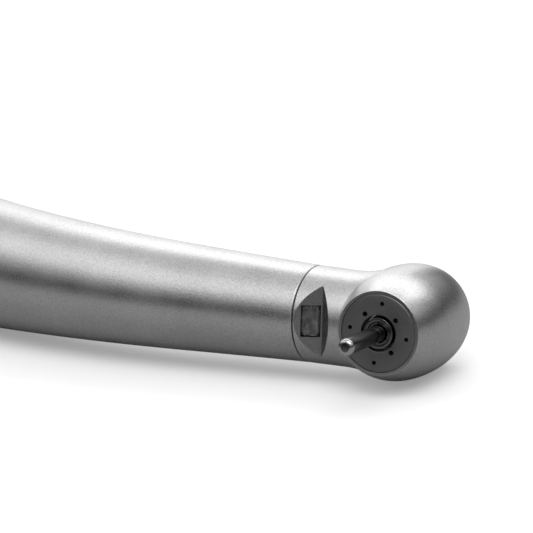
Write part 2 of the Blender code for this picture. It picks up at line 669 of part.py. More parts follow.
def raceway(height, side):
    """Arc of the ball groove, from the lower shoulder to the upper; side is +1 for the outer race."""
    radius = BALL_RADIUS + BALL_GAP
    half = acos(SHOULDER_OFFSET / radius)
    return [(PITCH_RADIUS + side * radius * cos(angle), height + radius * sin(angle))
            for angle in spread(-half, half, 3)]


def make_bearing(where, low):
    """Races, cage and balls of one ball bearing whose lower face is at the given height."""
    middle = low + BEARING_WIDTH / 2
    high = low + BEARING_WIDTH
    bore = BEARING_BORE + SEAT_GAP
    inside, outside = PITCH_RADIUS - SHOULDER_OFFSET, PITCH_RADIUS + SHOULDER_OFFSET
    outer_race = [(BEARING_OUTSIDE, high), (BEARING_OUTSIDE, low), (outside, low)]
    outer_race += raceway(middle, 1) + [(outside, high)]
    turned(f"{where}_outer_race", outer_race, HEAD, "race_steel")
    inner_race = [(inside, high)] + raceway(middle, -1)[::-1] + [(inside, low), (bore, low), (bore, high)]
    turned(f"{where}_inner_race", inner_race, ROTOR, "race_steel")
    cage_frame = make_frame(f"{where}_cage_axis", HEAD, (0, 0, middle), (1, 0, 0), (0, 0, 1))
    profile = ring_profile(inside + CAGE_CLEARANCE, outside - CAGE_CLEARANCE, -CAGE_WIDTH / 2, CAGE_WIDTH / 2)
    cage = turned(f"{where}_cage", profile, cage_frame, "cage_polymer")
    for i in range(BALL_COUNT):
        angle = 2 * pi * i / BALL_COUNT
        outward = Vector((cos(angle), sin(angle), 0.0))
        boolean(cage, drill(f"{where}_pocket_{i + 1}", cage_frame, outward * (inside - CUT_BEYOND),
                            outward * (outside + CUT_BEYOND), BALL_RADIUS + POCKET_CLEARANCE, HOLE_STEPS))
        ball_mesh = bpy.data.meshes.new(f"{where}_ball_{i + 1}")
        bm = bmesh.new()
        bmesh.ops.create_uvsphere(bm, u_segments=8, v_segments=6, radius=BALL_RADIUS)
        bm.to_mesh(ball_mesh)
        bm.free()
        ball = place(f"{where}_ball_{i + 1}", ball_mesh, cage_frame, "ball_ceramic")
        ball.location = outward * PITCH_RADIUS
    return cage


def make_o_ring(name, inner, outer, height, frame, steps):
    """Round rubber ring held between an inner and an outer seat."""
    thickness = (outer - inner) / 2
    centre = (outer + inner) / 2
    profile = [(centre + thickness * cos(angle), height + thickness * sin(angle))
               for angle in (pi / 2 - 2 * pi * i / 6 for i in range(6))]
    return turned(name, profile, frame, "seal_rubber", steps)


def make_rear_cup():
    """Cup that centres the rear bearing in the chamber."""
    low, high = REAR_BEARING_HEIGHT - CUP_GAP, CAP_FRONT - CUP_GAP
    profile = ring_profile(BEARING_BORE_RADIUS, CUP_RADIUS, low, high)
    return turned("bearing_cup", profile, HEAD, "bright_steel")


def make_preload_washer():
    """Thin wavy ring between the rear outer race and the back cap."""
    seat = REAR_BEARING_HEIGHT + BEARING_WIDTH
    middle = (seat + CAP_FRONT) / 2
    low, high = middle - WASHER_THICKNESS / 2, middle + WASHER_THICKNESS / 2
    profile = ring_profile(PITCH_RADIUS + SHOULDER_OFFSET, BEARING_OUTSIDE, low, high)
    washer = turned("preload_washer", profile, HEAD, "bright_steel")
    apply_modifiers(washer)
    for vertex in washer.data.vertices:
        around = Vector((vertex.co.x, vertex.co.y)).angle_signed(Vector((1.0, 0.0)))
        vertex.co.z += WASHER_WAVE * cos(WASHER_WAVES * around)
    return washer


# Rotor

def make_spindle():
    """Hollow shaft with its nose in the face plate's opening."""
    nose_end = FRONT_BEARING_HEIGHT - NOSE_TO_BEARING
    nose = -NOSE_STAND_OUT
    profile = [(BEARING_BORE - EDGE, SPINDLE_REAR), (BEARING_BORE, SPINDLE_REAR - EDGE),
               (BEARING_BORE, nose_end), (NOSE_RADIUS, nose_end), (NOSE_RADIUS, nose + 2 * EDGE),
               (NOSE_RADIUS - 2 * EDGE, nose), (SPINDLE_BORE + EDGE, nose), (SPINDLE_BORE, nose + EDGE),
               (SPINDLE_BORE, SPINDLE_REAR)]
    return turned("spindle", profile, ROTOR, "bright_steel")


def make_collet():
    """Slotted sleeve that grips the bur's shank."""
    low = COLLET_RECESS
    outer = SPINDLE_BORE - SEAT_GAP
    inner = PIN_RADIUS + SEAT_GAP
    profile = ring_profile(inner, outer, low, low + COLLET_LENGTH, EDGE)
    collet = turned("collet", profile, ROTOR, "bright_steel")
    for i in range(COLLET_SLOTS):
        size = (outer, COLLET_SLOT_WIDTH, 2 * COLLET_SLOT_LENGTH)
        shape = box_mesh(f"collet_slot_{i + 1}", size, (PIN_RADIUS, 0, low))
        slot = place_cutter(f"collet_slot_{i + 1}", shape, ROTOR)
        slot.rotation_euler.z = 2 * pi * (i + COLLET_SLOT_SHIFT) / COLLET_SLOTS
        boolean(collet, slot)
    return collet


def make_blade(index):
    """One bucket: a sheet swept back towards its tip and bowed across the air stream, then thickened."""
    bm = bmesh.new()
    bmesh.ops.create_grid(bm, x_segments=BLADE_SEGMENTS, y_segments=BLADE_SEGMENTS, size=0.5)
    root = IMPELLER_HUB_RADIUS - BLADE_ROOT_DEPTH
    tip = CHAMBER_RADIUS - IMPELLER_TIP_GAP
    middle = IMPELLER_FRONT + IMPELLER_WIDTH / 2
    half_width = IMPELLER_WIDTH / 2 - BLADE_SIDE_STEP
    for vertex in bm.verts:
        out = vertex.co.x + 0.5
        across_stream = 2 * vertex.co.y
        radius = root + (tip - root) * out
        angle = 2 * pi * index / BLADE_COUNT - BLADE_SWEEP * out * out
        angle += BLADE_BOW * out * (across_stream ** 2 - 1)
        vertex.co = (radius * cos(angle), radius * sin(angle), middle + half_width * across_stream)
    mesh = bpy.data.meshes.new(f"blade_{index + 1}")
    bm.to_mesh(mesh)
    bm.free()
    blade = place_cutter(f"blade_{index + 1}", mesh, ROTOR)
    thicken = blade.modifiers.new("Thickness", "SOLIDIFY")
    thicken.thickness = BLADE_THICKNESS
    thicken.offset = 0.0
    thicken.use_even_offset = True
    return blade


def make_impeller():
    """Hub with a ring of curved buckets."""
    low, high = IMPELLER_FRONT, IMPELLER_FRONT + IMPELLER_WIDTH
    bore = BEARING_BORE + SEAT_GAP
    impeller = turned("impeller", ring_profile(bore, IMPELLER_HUB_RADIUS, low, high), ROTOR, "rotor_alloy")
    for i in range(BLADE_COUNT):
        boolean(impeller, make_blade(i), "UNION")
    return impeller


def make_test_pin():
    """Plain bur blank with a chamfered front end."""
    profile = [(0, PIN_INSERTION), (PIN_RADIUS - EDGE, PIN_INSERTION), (PIN_RADIUS, PIN_INSERTION - EDGE),
               (PIN_RADIUS, PIN_CHAMFER - PIN_REACH), (PIN_RADIUS - PIN_CHAMFER, -PIN_REACH), (0, -PIN_REACH)]
    return turned("test_pin", profile, ROTOR, "bright_steel")


def make_chuck_pusher():
    """Small plunger in the spindle's rear that opens the collet."""
    low = PIN_INSERTION + PUSHER_GAP
    shoulder = low + PUSHER_TIP_LENGTH
    head = SPINDLE_BORE - PUSHER_CLEARANCE
    profile = [(0, PUSHER_TOP), (head - EDGE, PUSHER_TOP), (head, PUSHER_TOP - EDGE), (head, shoulder),
               (PIN_RADIUS, shoulder), (PIN_RADIUS, low), (0, low)]
    return turned("chuck_pusher", profile, ROTOR, "bright_steel")


# Back cap and push button

def make_back_cap():
    """Threaded cap that closes the head, with a web for the button spring and a lip for the button."""
    seam = HOUSING_TOP + SEAM_GAP
    outline = [HEAD_BACK_HEIGHT - share * (HEAD_BACK_HEIGHT - seam) for share in CAP_STATIONS]
    profile = [(HEAD_BACK_RADIUS - CAP_EDGE_BEVEL, HEAD_BACK_HEIGHT)]
    profile += [(head_radius(height), height) for height in outline]
    profile += [(head_radius(seam) - EDGE, seam), (CUP_RADIUS, seam), (CUP_RADIUS, CAP_FRONT),
                (CAP_WEB_OPENING, CAP_FRONT), (CAP_WEB_OPENING, CAP_FRONT + CAP_WEB),
                (CAP_POCKET_RADIUS, CAP_FRONT + CAP_WEB), (CAP_POCKET_RADIUS, CAP_LIP_HEIGHT),
                (BUTTON_RADIUS + BUTTON_GAP, CAP_LIP_HEIGHT), (BUTTON_RADIUS + BUTTON_GAP, HEAD_BACK_HEIGHT)]
    return turned("back_cap", profile, HEAD, "satin_steel", LARGE_STEPS)


def make_push_button():
    """Domed button with a retaining flange, a hollow underside and a central boss."""
    boss_end = PUSHER_TOP + PUSHER_GAP
    flange_top = CAP_LIP_HEIGHT - BUTTON_LIP_GAP
    flange_low = flange_top - BUTTON_FLANGE_THICKNESS
    skirt_end = flange_low - BUTTON_SKIRT
    shoulder = BUTTON_TOP - BUTTON_DOME
    inner = BUTTON_RADIUS - BUTTON_WALL
    profile = [(BUTTON_RADIUS * share, BUTTON_TOP - BUTTON_DOME * share ** 2) for share in DOME_STATIONS]
    profile += [(BUTTON_RADIUS - EDGE, shoulder), (BUTTON_RADIUS, shoulder - EDGE),
                (BUTTON_RADIUS, flange_top), (BUTTON_FLANGE_RADIUS, flange_top),
                (BUTTON_FLANGE_RADIUS, flange_low), (BUTTON_RADIUS, flange_low),
                (BUTTON_RADIUS, skirt_end), (inner, skirt_end), (inner, BUTTON_CEILING),
                (BUTTON_BOSS_RADIUS, BUTTON_CEILING), (BUTTON_BOSS_RADIUS, boss_end), (0, boss_end)]
    return turned("push_button", profile, HEAD, "satin_steel")


def make_button_spring():
    """Compression coil between the cap's web and the button's ceiling."""
    low = CAP_FRONT + CAP_WEB + SPRING_WIRE_RADIUS + TUBE_GAP
    high = BUTTON_CEILING - SPRING_WIRE_RADIUS - TUBE_GAP
    per_turn = SPRING_STEPS
    count = int(SPRING_TURNS * per_turn) + 1
    curve = bpy.data.curves.new("button_spring", "CURVE")
    curve.dimensions = "3D"
    curve.bevel_depth = SPRING_WIRE_RADIUS
    curve.bevel_resolution = 1
    curve.use_fill_caps = True
    spline = curve.splines.new("POLY")
    spline.points.add(count - 1)
    for i, point in enumerate(spline.points):
        angle = 2 * pi * i / per_turn
        height = low + (high - low) * i / (count - 1)
        point.co = (BUTTON_SPRING_RADIUS * cos(angle), BUTTON_SPRING_RADIUS * sin(angle), height, 1)
    return place("button_spring", curve, HEAD, "bright_steel")


# Handle shells

def make_handle_sleeve():
    """Curved, swelling shell from the seam ring to the grip, with a spigot that the grip slides over."""
    front = SEAM_POSITION + SEAM_GAP / 2
    spigot_end = GRIP_START + GRIP_SPIGOT_LENGTH
    outer = [GRIP_START] + spread(BEND_END, BEND_START, 7) + [SPIGOT_END]
    inner = [FRONT_CLAMP_POSITION] + spread(BEND_START, BEND_END, 4)
    profile = [(SLEEVE_SPIGOT_RADIUS, spigot_end), (SLEEVE_SPIGOT_RADIUS, GRIP_START)]
    profile += [(handle_radius(position), position) for position in outer]
    profile += [(SEAM_RADIUS, front + EDGE), (SEAM_RADIUS - EDGE, front), (SLEEVE_FRONT_BORE, front),
                (SLEEVE_FRONT_BORE, SPIGOT_END + SLEEVE_SEAT_MARGIN)]
    profile += [(handle_radius(position) - SLEEVE_WALL, position) for position in inner]
    profile += [(SLEEVE_SPIGOT_BORE, BEND_END + SLEEVE_TAPER_LENGTH), (SLEEVE_SPIGOT_BORE, spigot_end)]
    sleeve = turned("handle_sleeve", profile, WHOLE, "satin_steel", LARGE_STEPS)
    return bend_along_handle(sleeve)


def make_grip_sleeve():
    """Straight grip with a row of shallow finger grooves."""
    front = GRIP_START + SEAM_GAP
    profile = [(GRIP_RADIUS - EDGE, GRIP_END), (GRIP_RADIUS, GRIP_END - EDGE)]
    for i in reversed(range(GROOVE_COUNT)):
        middle = GRIP_START + GROOVES_FROM_GRIP_START + i * GROOVE_PITCH
        half = GROOVE_WIDTH / 2
        profile += [(GRIP_RADIUS, middle + half), (GRIP_RADIUS - GROOVE_DEPTH, middle + half / 2),
                    (GRIP_RADIUS - GROOVE_DEPTH, middle - half / 2), (GRIP_RADIUS, middle - half)]
    profile += [(GRIP_RADIUS, front + GRIP_EDGE_BEVEL), (GRIP_RADIUS - GRIP_EDGE_BEVEL, front),
                (GRIP_BORE, front), (GRIP_BORE, GRIP_END)]
    return turned("grip_sleeve", profile, REAR, "satin_steel", LARGE_STEPS)


def make_rear_collar():
    """Ring behind the grip, tapered towards the hose."""
    front = GRIP_END + SEAM_GAP
    rear = HANDLE_END - COLLAR_SETBACK
    rear_radius = GRIP_RADIUS - COLLAR_TAPER
    profile = [(rear_radius - COLLAR_EDGE_BEVEL, rear), (rear_radius, rear - COLLAR_EDGE_BEVEL),
               (GRIP_RADIUS, rear - COLLAR_TAPER_LENGTH), (GRIP_RADIUS, front + EDGE),
               (GRIP_RADIUS - EDGE, front), (GRIP_BORE, front), (GRIP_BORE, rear)]
    return turned("rear_collar", profile, REAR, "satin_steel", LARGE_STEPS)


ALL_PASSAGES = (DRIVE_TUBE, WATER_TUBE, CHIP_AIR_TUBE, LIGHT_GUIDE, EXHAUST)


def make_coupling_socket():
    """Stepped socket that takes the hose coupling's plug; its front wall holds the tubes."""
    outer = GRIP_BORE - TUBE_GAP
    groove = SOCKET_MOUTH_RADIUS + SNAP_GROOVE_DEPTH
    groove_rear = HANDLE_END - SNAP_GROOVE_FROM_END + SNAP_GROOVE_WIDTH / 2
    groove_front = groove_rear - SNAP_GROOVE_WIDTH
    profile = [(outer, HANDLE_END), (outer, SOCKET_FRONT), (0, SOCKET_FRONT), (0, SOCKET_WALL_END),
               (SOCKET_BOTTOM_RADIUS, SOCKET_WALL_END), (SOCKET_BOTTOM_RADIUS, SOCKET_BOTTOM_END),
               (SOCKET_MIDDLE_RADIUS, SOCKET_BOTTOM_END), (SOCKET_MIDDLE_RADIUS, SOCKET_MIDDLE_END),
               (SOCKET_MOUTH_RADIUS, SOCKET_MIDDLE_END), (SOCKET_MOUTH_RADIUS, groove_front),
               (groove, groove_front), (groove, groove_rear), (SOCKET_MOUTH_RADIUS, groove_rear),
               (SOCKET_MOUTH_RADIUS, HANDLE_END - 2 * EDGE), (SOCKET_MOUTH_RADIUS + 2 * EDGE, HANDLE_END)]
    socket = turned("coupling_socket", profile, REAR, "bright_steel", LARGE_STEPS)
    front, behind = SOCKET_FRONT - CUT_BEYOND, SOCKET_WALL_END + CUT_BEYOND
    for bore in tube_bores("socket", REAR, ALL_PASSAGES, front, behind):
        boolean(socket, bore)
    return socket


def make_snap_ring():
    """Open wire ring in the socket's groove that holds the plug."""
    radius = SNAP_GROOVE_WIDTH / 2 - TUBE_GAP
    centre = SOCKET_MOUTH_RADIUS + SNAP_GROOVE_DEPTH - radius - TUBE_GAP
    curve = bpy.data.curves.new("snap_ring", "CURVE")
    curve.dimensions = "3D"
    curve.bevel_depth = radius
    curve.bevel_resolution = 1
    curve.use_fill_caps = True
    angles = spread(SNAP_RING_OPENING / 2, 2 * pi - SNAP_RING_OPENING / 2, MEDIUM_STEPS)
    spline = curve.splines.new("POLY")
    spline.points.add(len(angles) - 1)
    for angle, point in zip(angles, spline.points):
        point.co = (centre * cos(angle), centre * sin(angle), HANDLE_END - SNAP_GROOVE_FROM_END, 1)
    return place("snap_ring", curve, REAR, "bright_steel")


def make_tube(name, tube, start, finish, hollow=True):
    """Tube or rod that runs through the handle at its own offsets from the axis."""
    bur_side, up, radius = tube
    end = SOCKET_FRONT + TUBE_INSERTION
    curve = bpy.data.curves.new(name, "CURVE")
    curve.dimensions = "3D"
    curve.bevel_depth = radius
    curve.bevel_resolution = 1
    curve.use_fill_caps = not hollow
    stations = [start] + spread(BEND_START, BEND_END, 6) + [end]
    spline = curve.splines.new("POLY")
    spline.points.add(len(stations) - 1)
    for station, point in zip(stations, spline.points):
        point.co = (*handle_point(station, bur_side, up), 1)
    obj = place(name, curve, WHOLE, finish)
    if hollow:
        wall = obj.modifiers.new("Wall", "SOLIDIFY")
        wall.thickness = TUBE_WALL
        wall.offset = -1.0
    return obj


def make_tubes():
    seated = SPIGOT_END - TUBE_INSERTION
    make_tube("drive_air_tube", DRIVE_TUBE, seated, "tube_brass")
    make_tube("water_tube", WATER_TUBE, seated, "tube_brass")
    make_tube("chip_air_tube", CHIP_AIR_TUBE, seated, "tube_brass")
    light_start = NOTCH_DEPTH_POSITION + LIGHT_GUIDE_FROM_NOTCH
    make_tube("light_guide", LIGHT_GUIDE, light_start, "clear_glass", hollow=False)


def make_tube_clamp(name, position, radius, frame):
    """Disc that holds the tubes apart inside the handle."""
    rear = position + CLAMP_THICKNESS
    profile = [(0, rear), (radius, rear), (radius, position), (0, position)]
    clamp = turned(name, profile, frame, "clamp_polymer")
    for bore in tube_bores(name, frame, ALL_PASSAGES, position - CUT_BEYOND, rear + CUT_BEYOND):
        boolean(clamp, bore)
    return clamp


def make_handle():
    make_handle_sleeve()
    make_grip_sleeve()
    make_rear_collar()
    make_coupling_socket()
    make_snap_ring()
    make_tubes()
    seal_floor = SPIGOT_RADIUS - SEAL_THICKNESS + 3 * SEAT_GAP
    make_o_ring("neck_seal", seal_floor, SLEEVE_FRONT_BORE - SEAT_GAP, SEAL_POSITION, NECK, LARGE_STEPS)
    front_bore = handle_radius(FRONT_CLAMP_POSITION) - SLEEVE_WALL
    make_tube_clamp("front_tube_clamp", FRONT_CLAMP_POSITION, front_bore - TUBE_GAP, NECK)
    middle = GRIP_START + MIDDLE_CLAMP_FROM_GRIP_START
    make_tube_clamp("middle_tube_clamp", middle, SLEEVE_SPIGOT_BORE - TUBE_GAP, REAR)


def make_head():
    make_head_housing()
    make_light_window()
    make_face_plate()
    for where, low in (("front", FRONT_BEARING_HEIGHT), ("rear", REAR_BEARING_HEIGHT)):
        make_bearing(where, low)
        make_o_ring(f"{where}_o_ring", BEARING_OUTSIDE + SEAT_GAP, BEARING_BORE_RADIUS - 2 * SEAT_GAP,
                    low + BEARING_WIDTH / 2, HEAD, MEDIUM_STEPS)
    make_rear_cup()
    make_preload_washer()
    make_back_cap()
    make_push_button()
    make_button_spring()


def make_rotor():
    make_spindle()
    make_collet()
    make_impeller()
    make_test_pin()
    make_chuck_pusher()


# Resting position

def rest_roll():
    """Roll about the grip's axis at which the head touches the surface that the grip lies on."""
    heights = spread(0.0, HEAD_BACK_HEIGHT, HEIGHTS_TRIED)
    circles = [((FACE_CENTRE - height * BUR_DIRECTION).y, head_radius(height)) for height in heights]

    def lowest(roll):
        slant = sin(HEAD_TURN) * sin(roll)
        return min(-centre * sin(roll) - radius * sqrt(cos(roll) ** 2 + slant ** 2)
                   for centre, radius in circles)

    low, high = 0.0, MOST_REST_ROLL
    for _ in range(ROLL_TRIALS):
        middle = (low + high) / 2
        if lowest(middle) > -GRIP_RADIUS:
            low = middle
        else:
            high = middle
    return low


def lay_down():
    """Roll the handpiece to its rest and bring the middle of its footprint to the origin."""
    WHOLE.rotation_euler.x = -rest_roll()
    bpy.context.view_layer.update()
    corners = [obj.matrix_world @ vertex.co for obj in PARTS.objects if obj.type == "MESH"
               for vertex in obj.data.vertices]
    spans = [(min(corner[i] for corner in corners), max(corner[i] for corner in corners)) for i in range(3)]
    middle = [(low + high) / 2 for low, high in spans]
    WHOLE.location = (-middle[0], -middle[1], -spans[2][0])


def finish_round_surfaces():
    """Apply the modifiers and shade every part smooth between its real edges."""
    bpy.context.view_layer.update()
    for obj in list(PARTS.objects):
        if obj.type != "MESH":
            continue
        apply_modifiers(obj)
        obj.data.shade_smooth()
        obj.data.set_sharp_from_angle(angle=REAL_EDGE_ANGLE)


make_head()
make_rotor()
make_handle()
finish_round_surfaces()
lay_down()
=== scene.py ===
"""Finish of a dental turbine handpiece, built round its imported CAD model.

The CAD model gives every piece its place. This script gives the visible pieces smooth surfaces, a finish
for every material, and a pale studio stage. Distances along the handle are measured backwards from the
bur axis. Distances along the bur axis are measured from the face plate's front towards the push button.
"""
import json
from math import acos, asin, atan2, cos, pi, radians, sin, sqrt

import bmesh
import bpy
from bpy.props import FloatProperty, FloatVectorProperty, IntProperty, PointerProperty
from mathutils import Matrix, Vector


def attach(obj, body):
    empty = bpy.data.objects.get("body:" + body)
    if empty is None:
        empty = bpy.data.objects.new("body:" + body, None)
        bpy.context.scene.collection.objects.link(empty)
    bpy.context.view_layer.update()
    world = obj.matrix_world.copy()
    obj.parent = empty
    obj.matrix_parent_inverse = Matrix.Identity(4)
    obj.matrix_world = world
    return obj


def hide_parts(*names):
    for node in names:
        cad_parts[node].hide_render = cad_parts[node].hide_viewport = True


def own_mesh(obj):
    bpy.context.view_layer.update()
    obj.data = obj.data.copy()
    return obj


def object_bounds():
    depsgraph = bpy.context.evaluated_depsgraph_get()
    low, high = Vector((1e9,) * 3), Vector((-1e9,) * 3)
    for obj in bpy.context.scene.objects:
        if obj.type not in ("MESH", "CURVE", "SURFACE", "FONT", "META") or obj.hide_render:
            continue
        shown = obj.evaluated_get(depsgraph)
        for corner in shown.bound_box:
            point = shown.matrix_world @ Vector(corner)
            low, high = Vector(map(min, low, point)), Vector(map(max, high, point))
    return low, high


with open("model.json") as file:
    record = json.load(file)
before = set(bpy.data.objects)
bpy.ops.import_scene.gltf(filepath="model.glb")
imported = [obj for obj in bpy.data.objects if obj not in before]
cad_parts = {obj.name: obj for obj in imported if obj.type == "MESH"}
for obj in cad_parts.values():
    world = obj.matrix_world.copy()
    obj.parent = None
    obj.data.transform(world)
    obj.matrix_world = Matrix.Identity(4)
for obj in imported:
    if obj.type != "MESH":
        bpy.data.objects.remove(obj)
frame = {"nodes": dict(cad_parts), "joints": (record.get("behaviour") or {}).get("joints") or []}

bl_info = {
    "name": "Dental Turbine Handpiece",
    "version": (1, 0, 0),
    "blender": (4, 5, 0),
    "location": "View3D > Sidebar > Handpiece",
    "description": "Builds the finished look of a dental turbine handpiece round its CAD model",
    "category": "Object",
}

CAD_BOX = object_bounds()
MM = 0.001

# Clearances and cutting, as in the CAD model
SEAT_GAP = 0.02 * MM
PLATE_GAP = 0.03 * MM
SEAM_GAP = 0.1 * MM
TUBE_GAP = 0.05 * MM
CUT_BEYOND = 1.0 * MM
MERGE_DISTANCE = 0.0005 * MM

# Along the bur axis
PLATE_THICKNESS = 0.9 * MM
FRONT_BEARING_HEIGHT = 1.25 * MM
CHAMBER_FLOOR = 3.89 * MM
IMPELLER_FRONT = 4.15 * MM
IMPELLER_WIDTH = 3.1 * MM
REAR_BEARING_HEIGHT = 7.75 * MM
CAP_FRONT = 10.5 * MM
HOUSING_TOP = 11.9 * MM
CAP_LIP_HEIGHT = 12.5 * MM
HEAD_BACK_HEIGHT = 13.2 * MM
BUTTON_TOP = 13.5 * MM

# Head
FACE_TO_NECK_AXIS = 5.25 * MM
HEAD_RIM_RADIUS = 4.07 * MM
HEAD_WIDE_RADIUS = 5.47 * MM
HEAD_WIDE_HEIGHT = 7.3 * MM
HEAD_BACK_RADIUS = 3.9 * MM
RIM_ROUNDING = 0.05 * MM
CHEEK_FULLNESS = 2.6
PLATE_BORE_RADIUS = 3.77 * MM
BEARING_BORE_RADIUS = 3.45 * MM
CHAMBER_RADIUS = 4.15 * MM

# Face plate
NOSE_RADIUS = 1.475 * MM
NOSE_OPENING_RADIUS = 1.74 * MM
SPRAY_HOLES = ((2.88 * MM, 0.21 * MM, 0.0), (2.22 * MM, 0.25 * MM, 0.5))
HOLE_PATTERN_TURN = radians(6.4)
HOLES_PER_CIRCLE = 4

# Rotor and bur blank
NOSE_STAND_OUT = 0.05 * MM
NOSE_TO_BEARING = 0.1 * MM
SPINDLE_RADIUS = 1.5875 * MM
SPINDLE_BORE = 1.14 * MM
SPINDLE_REAR = 10.7 * MM
COLLET_RECESS = 0.05 * MM
COLLET_MOUTH_CHAMFER = 0.08 * MM
COLLET_LENGTH = 7.5 * MM
COLLET_SLOT_WIDTH = 0.1 * MM
COLLET_SLOT_LENGTH = 5.0 * MM
COLLET_SLOTS = 3
COLLET_SLOT_SHIFT = 0.25
PIN_RADIUS = 0.8 * MM
PIN_REACH = 8.1 * MM
PIN_INSERTION = 10.0 * MM
PIN_ROUNDING = 0.38 * MM

# Bearings
BEARING_OUTSIDE = 3.175 * MM
BEARING_WIDTH = 2.38 * MM
PITCH_RADIUS = (SPINDLE_RADIUS + BEARING_OUTSIDE) / 2
BALL_RADIUS = 0.5 * MM
BALL_COUNT = 7
BALL_GAP = 0.04 * MM
SHOULDER_OFFSET = 0.4 * MM
CAGE_WIDTH = 1.7 * MM
CAGE_CLEARANCE = 0.08 * MM
POCKET_CLEARANCE = 0.05 * MM
CUP_GAP = 0.1 * MM
WASHER_THICKNESS = 0.1 * MM
WASHER_WAVE = 0.05 * MM
WASHER_WAVES = 3

# Impeller
IMPELLER_HUB_RADIUS = 2.25 * MM
IMPELLER_TIP_GAP = 0.2 * MM
BLADE_COUNT = 9
BLADE_THICKNESS = 0.3 * MM
BLADE_ROOT_DEPTH = 0.35 * MM
BLADE_SIDE_STEP = 0.03 * MM
BLADE_SWEEP = radians(26)
BLADE_BOW = radians(13)
BLADE_SEGMENTS = 12

# Back cap and push button
CUP_RADIUS = 4.1 * MM
CAP_WEB = 0.3 * MM
CAP_WEB_OPENING = 2.3 * MM
CAP_POCKET_RADIUS = 3.65 * MM
BUTTON_RADIUS = 3.25 * MM
BUTTON_GAP = 0.05 * MM
BUTTON_FLANGE_RADIUS = 3.58 * MM
BUTTON_FLANGE_THICKNESS = 0.5 * MM
BUTTON_LIP_GAP = 0.06 * MM
BUTTON_SKIRT = 0.34 * MM
BUTTON_WALL = 0.5 * MM
BUTTON_DOME = 0.35 * MM
BUTTON_CEILING = 12.9 * MM
BUTTON_BOSS_RADIUS = 0.95 * MM
BUTTON_BOSS_END = 11.3 * MM
SPRING_RADIUS = 2.525 * MM
SPRING_WIRE_RADIUS = 0.13 * MM
SPRING_TURNS = 2.5
PUSHER_FRONT = 10.3 * MM
PUSHER_TIP_LENGTH = 0.35 * MM
PUSHER_TOP = 11.0 * MM
PUSHER_CLEARANCE = 0.05 * MM

# Neck
BEND_ANGLE = radians(17.19)
NECK_RADIUS = 4.73 * MM
NECK_FILLET = 12.0 * MM
NECK_INTO_HEAD = 0.4 * MM
SEAM_POSITION = 9.13 * MM
SEAM_RADIUS = 4.78 * MM
SEAM_SLOPE = 0.0376
SEAM_CHAMFER = 0.1 * MM
SPIGOT_RADIUS = 3.95 * MM
SPIGOT_END = 15.2 * MM
SEAL_POSITION = 12.25 * MM
SEAL_THICKNESS = 0.34 * MM

# Notch and light window
NOTCH_DEPTH_POSITION = 6.59 * MM
NOTCH_DEPTH_LEVEL = 3.23 * MM
NOTCH_FLOOR_ANGLE = radians(33.7)
NOTCH_FRONT_ANGLE = radians(44.8)
NOTCH_REACH = 3.3 * MM
WINDOW_FROM_DEEPEST = 1.12 * MM
WINDOW_LENGTH = 1.94 * MM
WINDOW_WIDTH = 3.1 * MM
WINDOW_POCKET_DEPTH = 0.9 * MM
WINDOW_RECESS = 0.15 * MM
WINDOW_GAP = 0.18 * MM
WINDOW_THICKNESS = 0.4 * MM

# Handle
BEND_START = 23.5 * MM
BEND_END = 51.3 * MM
HANDLE_RADIUS_AT_BEND_END = 6.76 * MM
SLEEVE_WALL = 0.75 * MM
SLEEVE_BORE_START = 19.0 * MM
SLEEVE_SPIGOT_RADIUS = 6.2 * MM
SLEEVE_SPIGOT_BORE = 5.5 * MM
SLEEVE_SPIGOT_END = 63.0 * MM
SLEEVE_TAPER_LENGTH = 3.0 * MM
GRIP_START = 57.0 * MM
GRIP_END = 101.0 * MM
GRIP_RADIUS = 7.3 * MM
GRIP_BORE = 6.25 * MM
GROOVE_COUNT = 3
GROOVE_FIRST = 66.0 * MM
GROOVE_PITCH = 4.0 * MM
GROOVE_WIDTH = 1.2 * MM
GROOVE_DEPTH = 0.25 * MM
HANDLE_END = 110.0 * MM
COLLAR_REAR_RADIUS = 6.75 * MM
COLLAR_TAPER_LENGTH = 3.1 * MM
COLLAR_SETBACK = 0.4 * MM
SOCKET_FRONT = 84.0 * MM
SOCKET_WALL_END = 88.0 * MM
SOCKET_BOTTOM_END = 94.0 * MM
SOCKET_MIDDLE_END = 101.0 * MM
SOCKET_BOTTOM_RADIUS = 3.2 * MM
SOCKET_MIDDLE_RADIUS = 3.9 * MM
SOCKET_MOUTH_RADIUS = 4.7 * MM
SNAP_GROOVE_POSITION = 106.0 * MM
SNAP_GROOVE_WIDTH = 0.8 * MM
SNAP_GROOVE_DEPTH = 0.4 * MM
SNAP_RING_OPENING = radians(50)

# Tubes: angle round the handle's axis, from the bur side upwards, and outer radius
SPIGOT_RIM = 0.65 * MM
DRIVE_TUBE = (radians(127), 1.1 * MM)
WATER_TUBE = (radians(71), 0.6 * MM)
CHIP_AIR_TUBE = (radians(-71), 0.6 * MM)
EXHAUST = (radians(-127), 1.15 * MM)
LIGHT_GUIDE = (0.0, 0.8 * MM)
LIGHT_GUIDE_START = 8.29 * MM
TUBE_WALL = 0.15 * MM
TUBE_SEAT_POSITION = 11.0 * MM
TUBE_FRONT = 12.2 * MM
TUBE_REAR = 87.0 * MM
CLAMP_THICKNESS = 2.0 * MM
FRONT_CLAMP = 19.0 * MM
MIDDLE_CLAMP = 58.5 * MM

# Drillings in the neck: their ends as bur side, up and distance behind the bur axis
DRIVE_NOZZLE_END = (-0.5 * MM, 3.0 * MM, 1.8 * MM)
DRIVE_NOZZLE_RADIUS = 0.75 * MM
EXHAUST_END = (-0.6 * MM, -2.2 * MM, 1.8 * MM)
SPRAY_CORNER = 4.4 * MM
SPRAY_EXIT = (4.45 * MM, 1.6 * MM, 2.4 * MM)
SPRAY_RADIUS = 0.28 * MM
DRILLING_OVERLAP = 0.3 * MM

